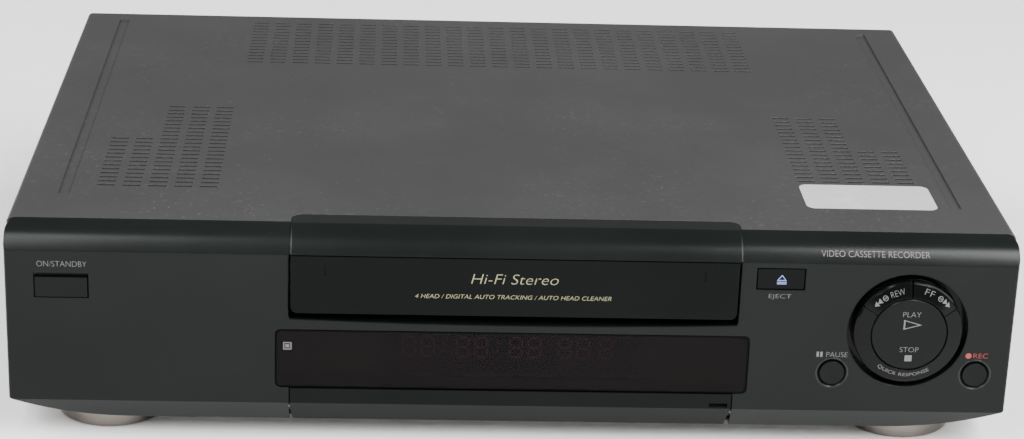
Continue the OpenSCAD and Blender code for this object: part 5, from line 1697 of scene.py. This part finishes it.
@dataclass
class Deck:
    """Tape deck: drum, reels, arms, motors and the carriage that takes the cassette in."""

    drum: Point = (0.0, 205.0, 31.2)
    tilt: float = 6.0
    split: float = 18.0
    hub: Sequence[Flat] = ((3.2, 0.02), (3.2, 1.4), (7.2, 1.4), (8.0, 0.9), (8.0, 0.02))
    hub_screw: Sequence[Flat] = ((0.0, 1.6), (1.7, 1.5), (2.1, 1.1), (2.1, 0.02), (0.0, 0.02))
    head_r: float = 30.6
    head_half: float = 0.9
    spindle: Sequence[Flat] = ((0.0, 20.4), (1.2, 20.2), (3.4, 19.2), (5.2, 18.02), (0.0, 18.02))
    reel_rim: Sequence[Flat] = ((20.6, 4.82), (20.6, 5.1), (21.6, 5.1), (21.9, 4.82))
    reels: Sequence[Flat] = ((-46.0, 110.0), (46.0, 110.0))
    deck_top: float = 31.2

    def build(self, shop: Workshop) -> None:
        """Make and dress the deck.

        Args:
            shop: The workshop.
        """
        shop.dress(Finish.ZINC, "deck_plate", "carriage_frame", "cassette_holder", "capstan_motor")
        shop.dress(Finish.GEAR, "cam_gear", "carriage_gear", "motor_pinion", "clutch_pulley", "idler_arm",
                   "carriage_slider", "head_cleaner")
        shop.dress(Finish.REEL, "supply_reel", "take_up_reel")
        shop.dress(Finish.RUBBER, "idler_wheel", "pinch_roller", "drive_belt")
        shop.dress(Finish.BRIGHT, "lower_drum", "upper_drum", "drum_base", "tape_heads", "left_tape_guide",
                   "right_tape_guide")
        shop.dress(Finish.MOTOR, "capstan_rotor", "loading_motor", "tension_arm", "pinch_arm")
        self.drum_details(shop)
        self.reel_details(shop)

    def drum_details(self, shop: Workshop) -> None:
        """Add the hub cap, its screws and the head tips of the upper drum."""
        x, y, z = self.drum
        caps = Shape()
        top = self.split + 18.0
        caps.lathe([(r, top + up) for r, up in self.hub], (x, y, z), "Z", 48, closed=True)
        for k in range(2):
            a = math.radians(180 * k + 35)
            caps.lathe([(r, top + up) for r, up in self.hub_screw],
                       (x + 14 * math.cos(a), y + 14 * math.sin(a), z), "Z", 24)
        caps.turn(self.tilt, "X", self.drum)
        shop.make("drum_cap", caps, Finish.BRASS, "upper_drum")
        heads = Shape()
        for k in range(6):
            a = math.radians(60 * k + 10)
            cx, cy, half = x + self.head_r * math.cos(a), y + self.head_r * math.sin(a), self.head_half
            heads.block((cx - half, cy - half, z + self.split + 0.2),
                        (cx + half, cy + half, z + self.split + 2.2), 0.15)
        heads.turn(self.tilt, "X", self.drum)
        shop.make("drum_head_tips", heads, Finish.BLACK, "upper_drum")

    def reel_details(self, shop: Workshop) -> None:
        """Cap each reel spindle with a cone and ring each reel with a rim."""
        for (x, y), body in zip(self.reels, ("supply_reel", "take_up_reel")):
            centre = (x, y, self.deck_top)
            cap = Shape().lathe(self.spindle, centre, "Z", 32)
            cap.lathe(self.reel_rim, centre, "Z", 64, closed=True)
            shop.make(body + "_cap", cap, Finish.REEL, body)


@dataclass
class Studio:
    """Pale floor, soft lights and the camera at the photograph's angle."""

    place: Point = (-0.05341, -1.15796, 0.49502)
    pitch: float = 21.196
    yaw: float = 2.914
    roll: float = 2.065
    focal_px: float = 2563.4
    width_px: float = 1024.0
    film: float = 36.0
    air: float = 0.34
    floor_half: float = 9.0
    lights: Sequence[tuple[str, Point, Point, Flat, float]] = field(default_factory=lambda: (
        ("left_bank", (-2.1, -0.1, 1.5), (0.0, -0.1, 0.0), (1.3, 2.0), 80.0),
        ("right_bank", (2.1, -0.1, 1.5), (0.0, -0.1, 0.0), (1.3, 2.0), 62.0),
        ("left_window", (-0.62, -1.21, 1.35), (-0.2, -0.15, 0.08), (0.3, 1.3), 29.0),
        ("right_window", (0.83, -1.17, 1.30), (0.2, -0.15, 0.08), (0.45, 1.3), 68.0),
    ))

    def build(self) -> None:
        """Set up the floor, the lights and the camera."""
        self.floor()
        for light in self.lights:
            self.light(*light)
        self.world()
        self.camera()

    def floor(self) -> None:
        """Lay the wide pale floor."""
        mesh = bmesh.new()
        half = self.floor_half
        mesh.faces.new([mesh.verts.new((x, y, 0.0)) for x, y in oblong(-half, half, -half, half)])
        data = bpy.data.meshes.new("studio_floor")
        mesh.to_mesh(data)
        mesh.free()
        floor = bpy.data.objects.new("studio_floor", data)
        bpy.context.scene.collection.objects.link(floor)
        bench = Bench("studio_paper")
        cloud = bench.noise(2.0, 3.0)
        tint = bench.mix(cloud, (0.88, 0.88, 0.88), (0.91, 0.91, 0.905))
        data.materials.append(bench.close(Base_Color=tint, Roughness=0.75))

    @staticmethod
    def light(name: str, place: Point, aim: Point, size: Flat, power: float) -> None:
        """Hang one soft light.

        Args:
            name: Its name.
            place: Where it hangs.
            aim: Where it points.
            size: Width and height of its face.
            power: Power in watts.
        """
        lamp = bpy.data.lights.new(name, "AREA")
        lamp.shape = "RECTANGLE"
        lamp.size, lamp.size_y = size
        lamp.energy = power
        made = bpy.data.objects.new(name, lamp)
        made.location = place
        made.rotation_euler = (Vector(aim) - Vector(place)).to_track_quat("-Z", "Y").to_euler()
        bpy.context.scene.collection.objects.link(made)

    def world(self) -> None:
        """Fill the surroundings with pale light."""
        world = bpy.data.worlds.new("studio_air")
        world.use_nodes = True
        sky = world.node_tree.nodes["Background"]
        sky.inputs["Color"].default_value = (1.0, 1.0, 1.0, 1.0)
        sky.inputs["Strength"].default_value = self.air
        bpy.context.scene.world = world

    def camera(self) -> None:
        """Stand the camera where the photograph was taken from."""
        pitch, yaw, roll = (math.radians(a) for a in (self.pitch, self.yaw, self.roll))
        base = Matrix(((1, 0, 0), (0, 0, -1), (0, 1, 0)))
        swing = Matrix(((math.cos(yaw), 0, -math.sin(yaw)), (0, 1, 0), (math.sin(yaw), 0, math.cos(yaw))))
        tip = Matrix(((1, 0, 0), (0, math.cos(pitch), -math.sin(pitch)),
                      (0, math.sin(pitch), math.cos(pitch))))
        lean = Matrix(((math.cos(roll), -math.sin(roll), 0), (math.sin(roll), math.cos(roll), 0), (0, 0, 1)))
        rows = lean @ tip @ swing @ base
        lens = bpy.data.cameras.new("studio_camera")
        lens.sensor_fit = "HORIZONTAL"
        lens.sensor_width = self.film
        lens.lens = self.film * self.focal_px / self.width_px
        lens.dof.use_dof = False
        camera = bpy.data.objects.new("studio_camera", lens)
        turn = Matrix((rows[0], -rows[1], -rows[2])).transposed()
        camera.matrix_world = Matrix.Translation(Vector(self.place)) @ turn.to_4x4()
        bpy.context.scene.collection.objects.link(camera)
        bpy.context.scene.camera = camera


def main() -> None:
    """Build the recorder's looks piece by piece, then the studio."""
    logging.basicConfig(level=logging.INFO, format="%(message)s")
    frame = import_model()
    shop = Workshop(frame)
    for part in (Case(), FrontFace(), CassetteDoor(), Keys(), ControlDial(), LowerDoor(), Feet(),
                 RearSockets(), Boards(), Deck()):
        LOG.info("building %s", type(part).__name__)
        part.build(shop)
    Studio().build()
    LOG.info("%d pieces made", shop.count)


if __name__ == "__main__":
    main()
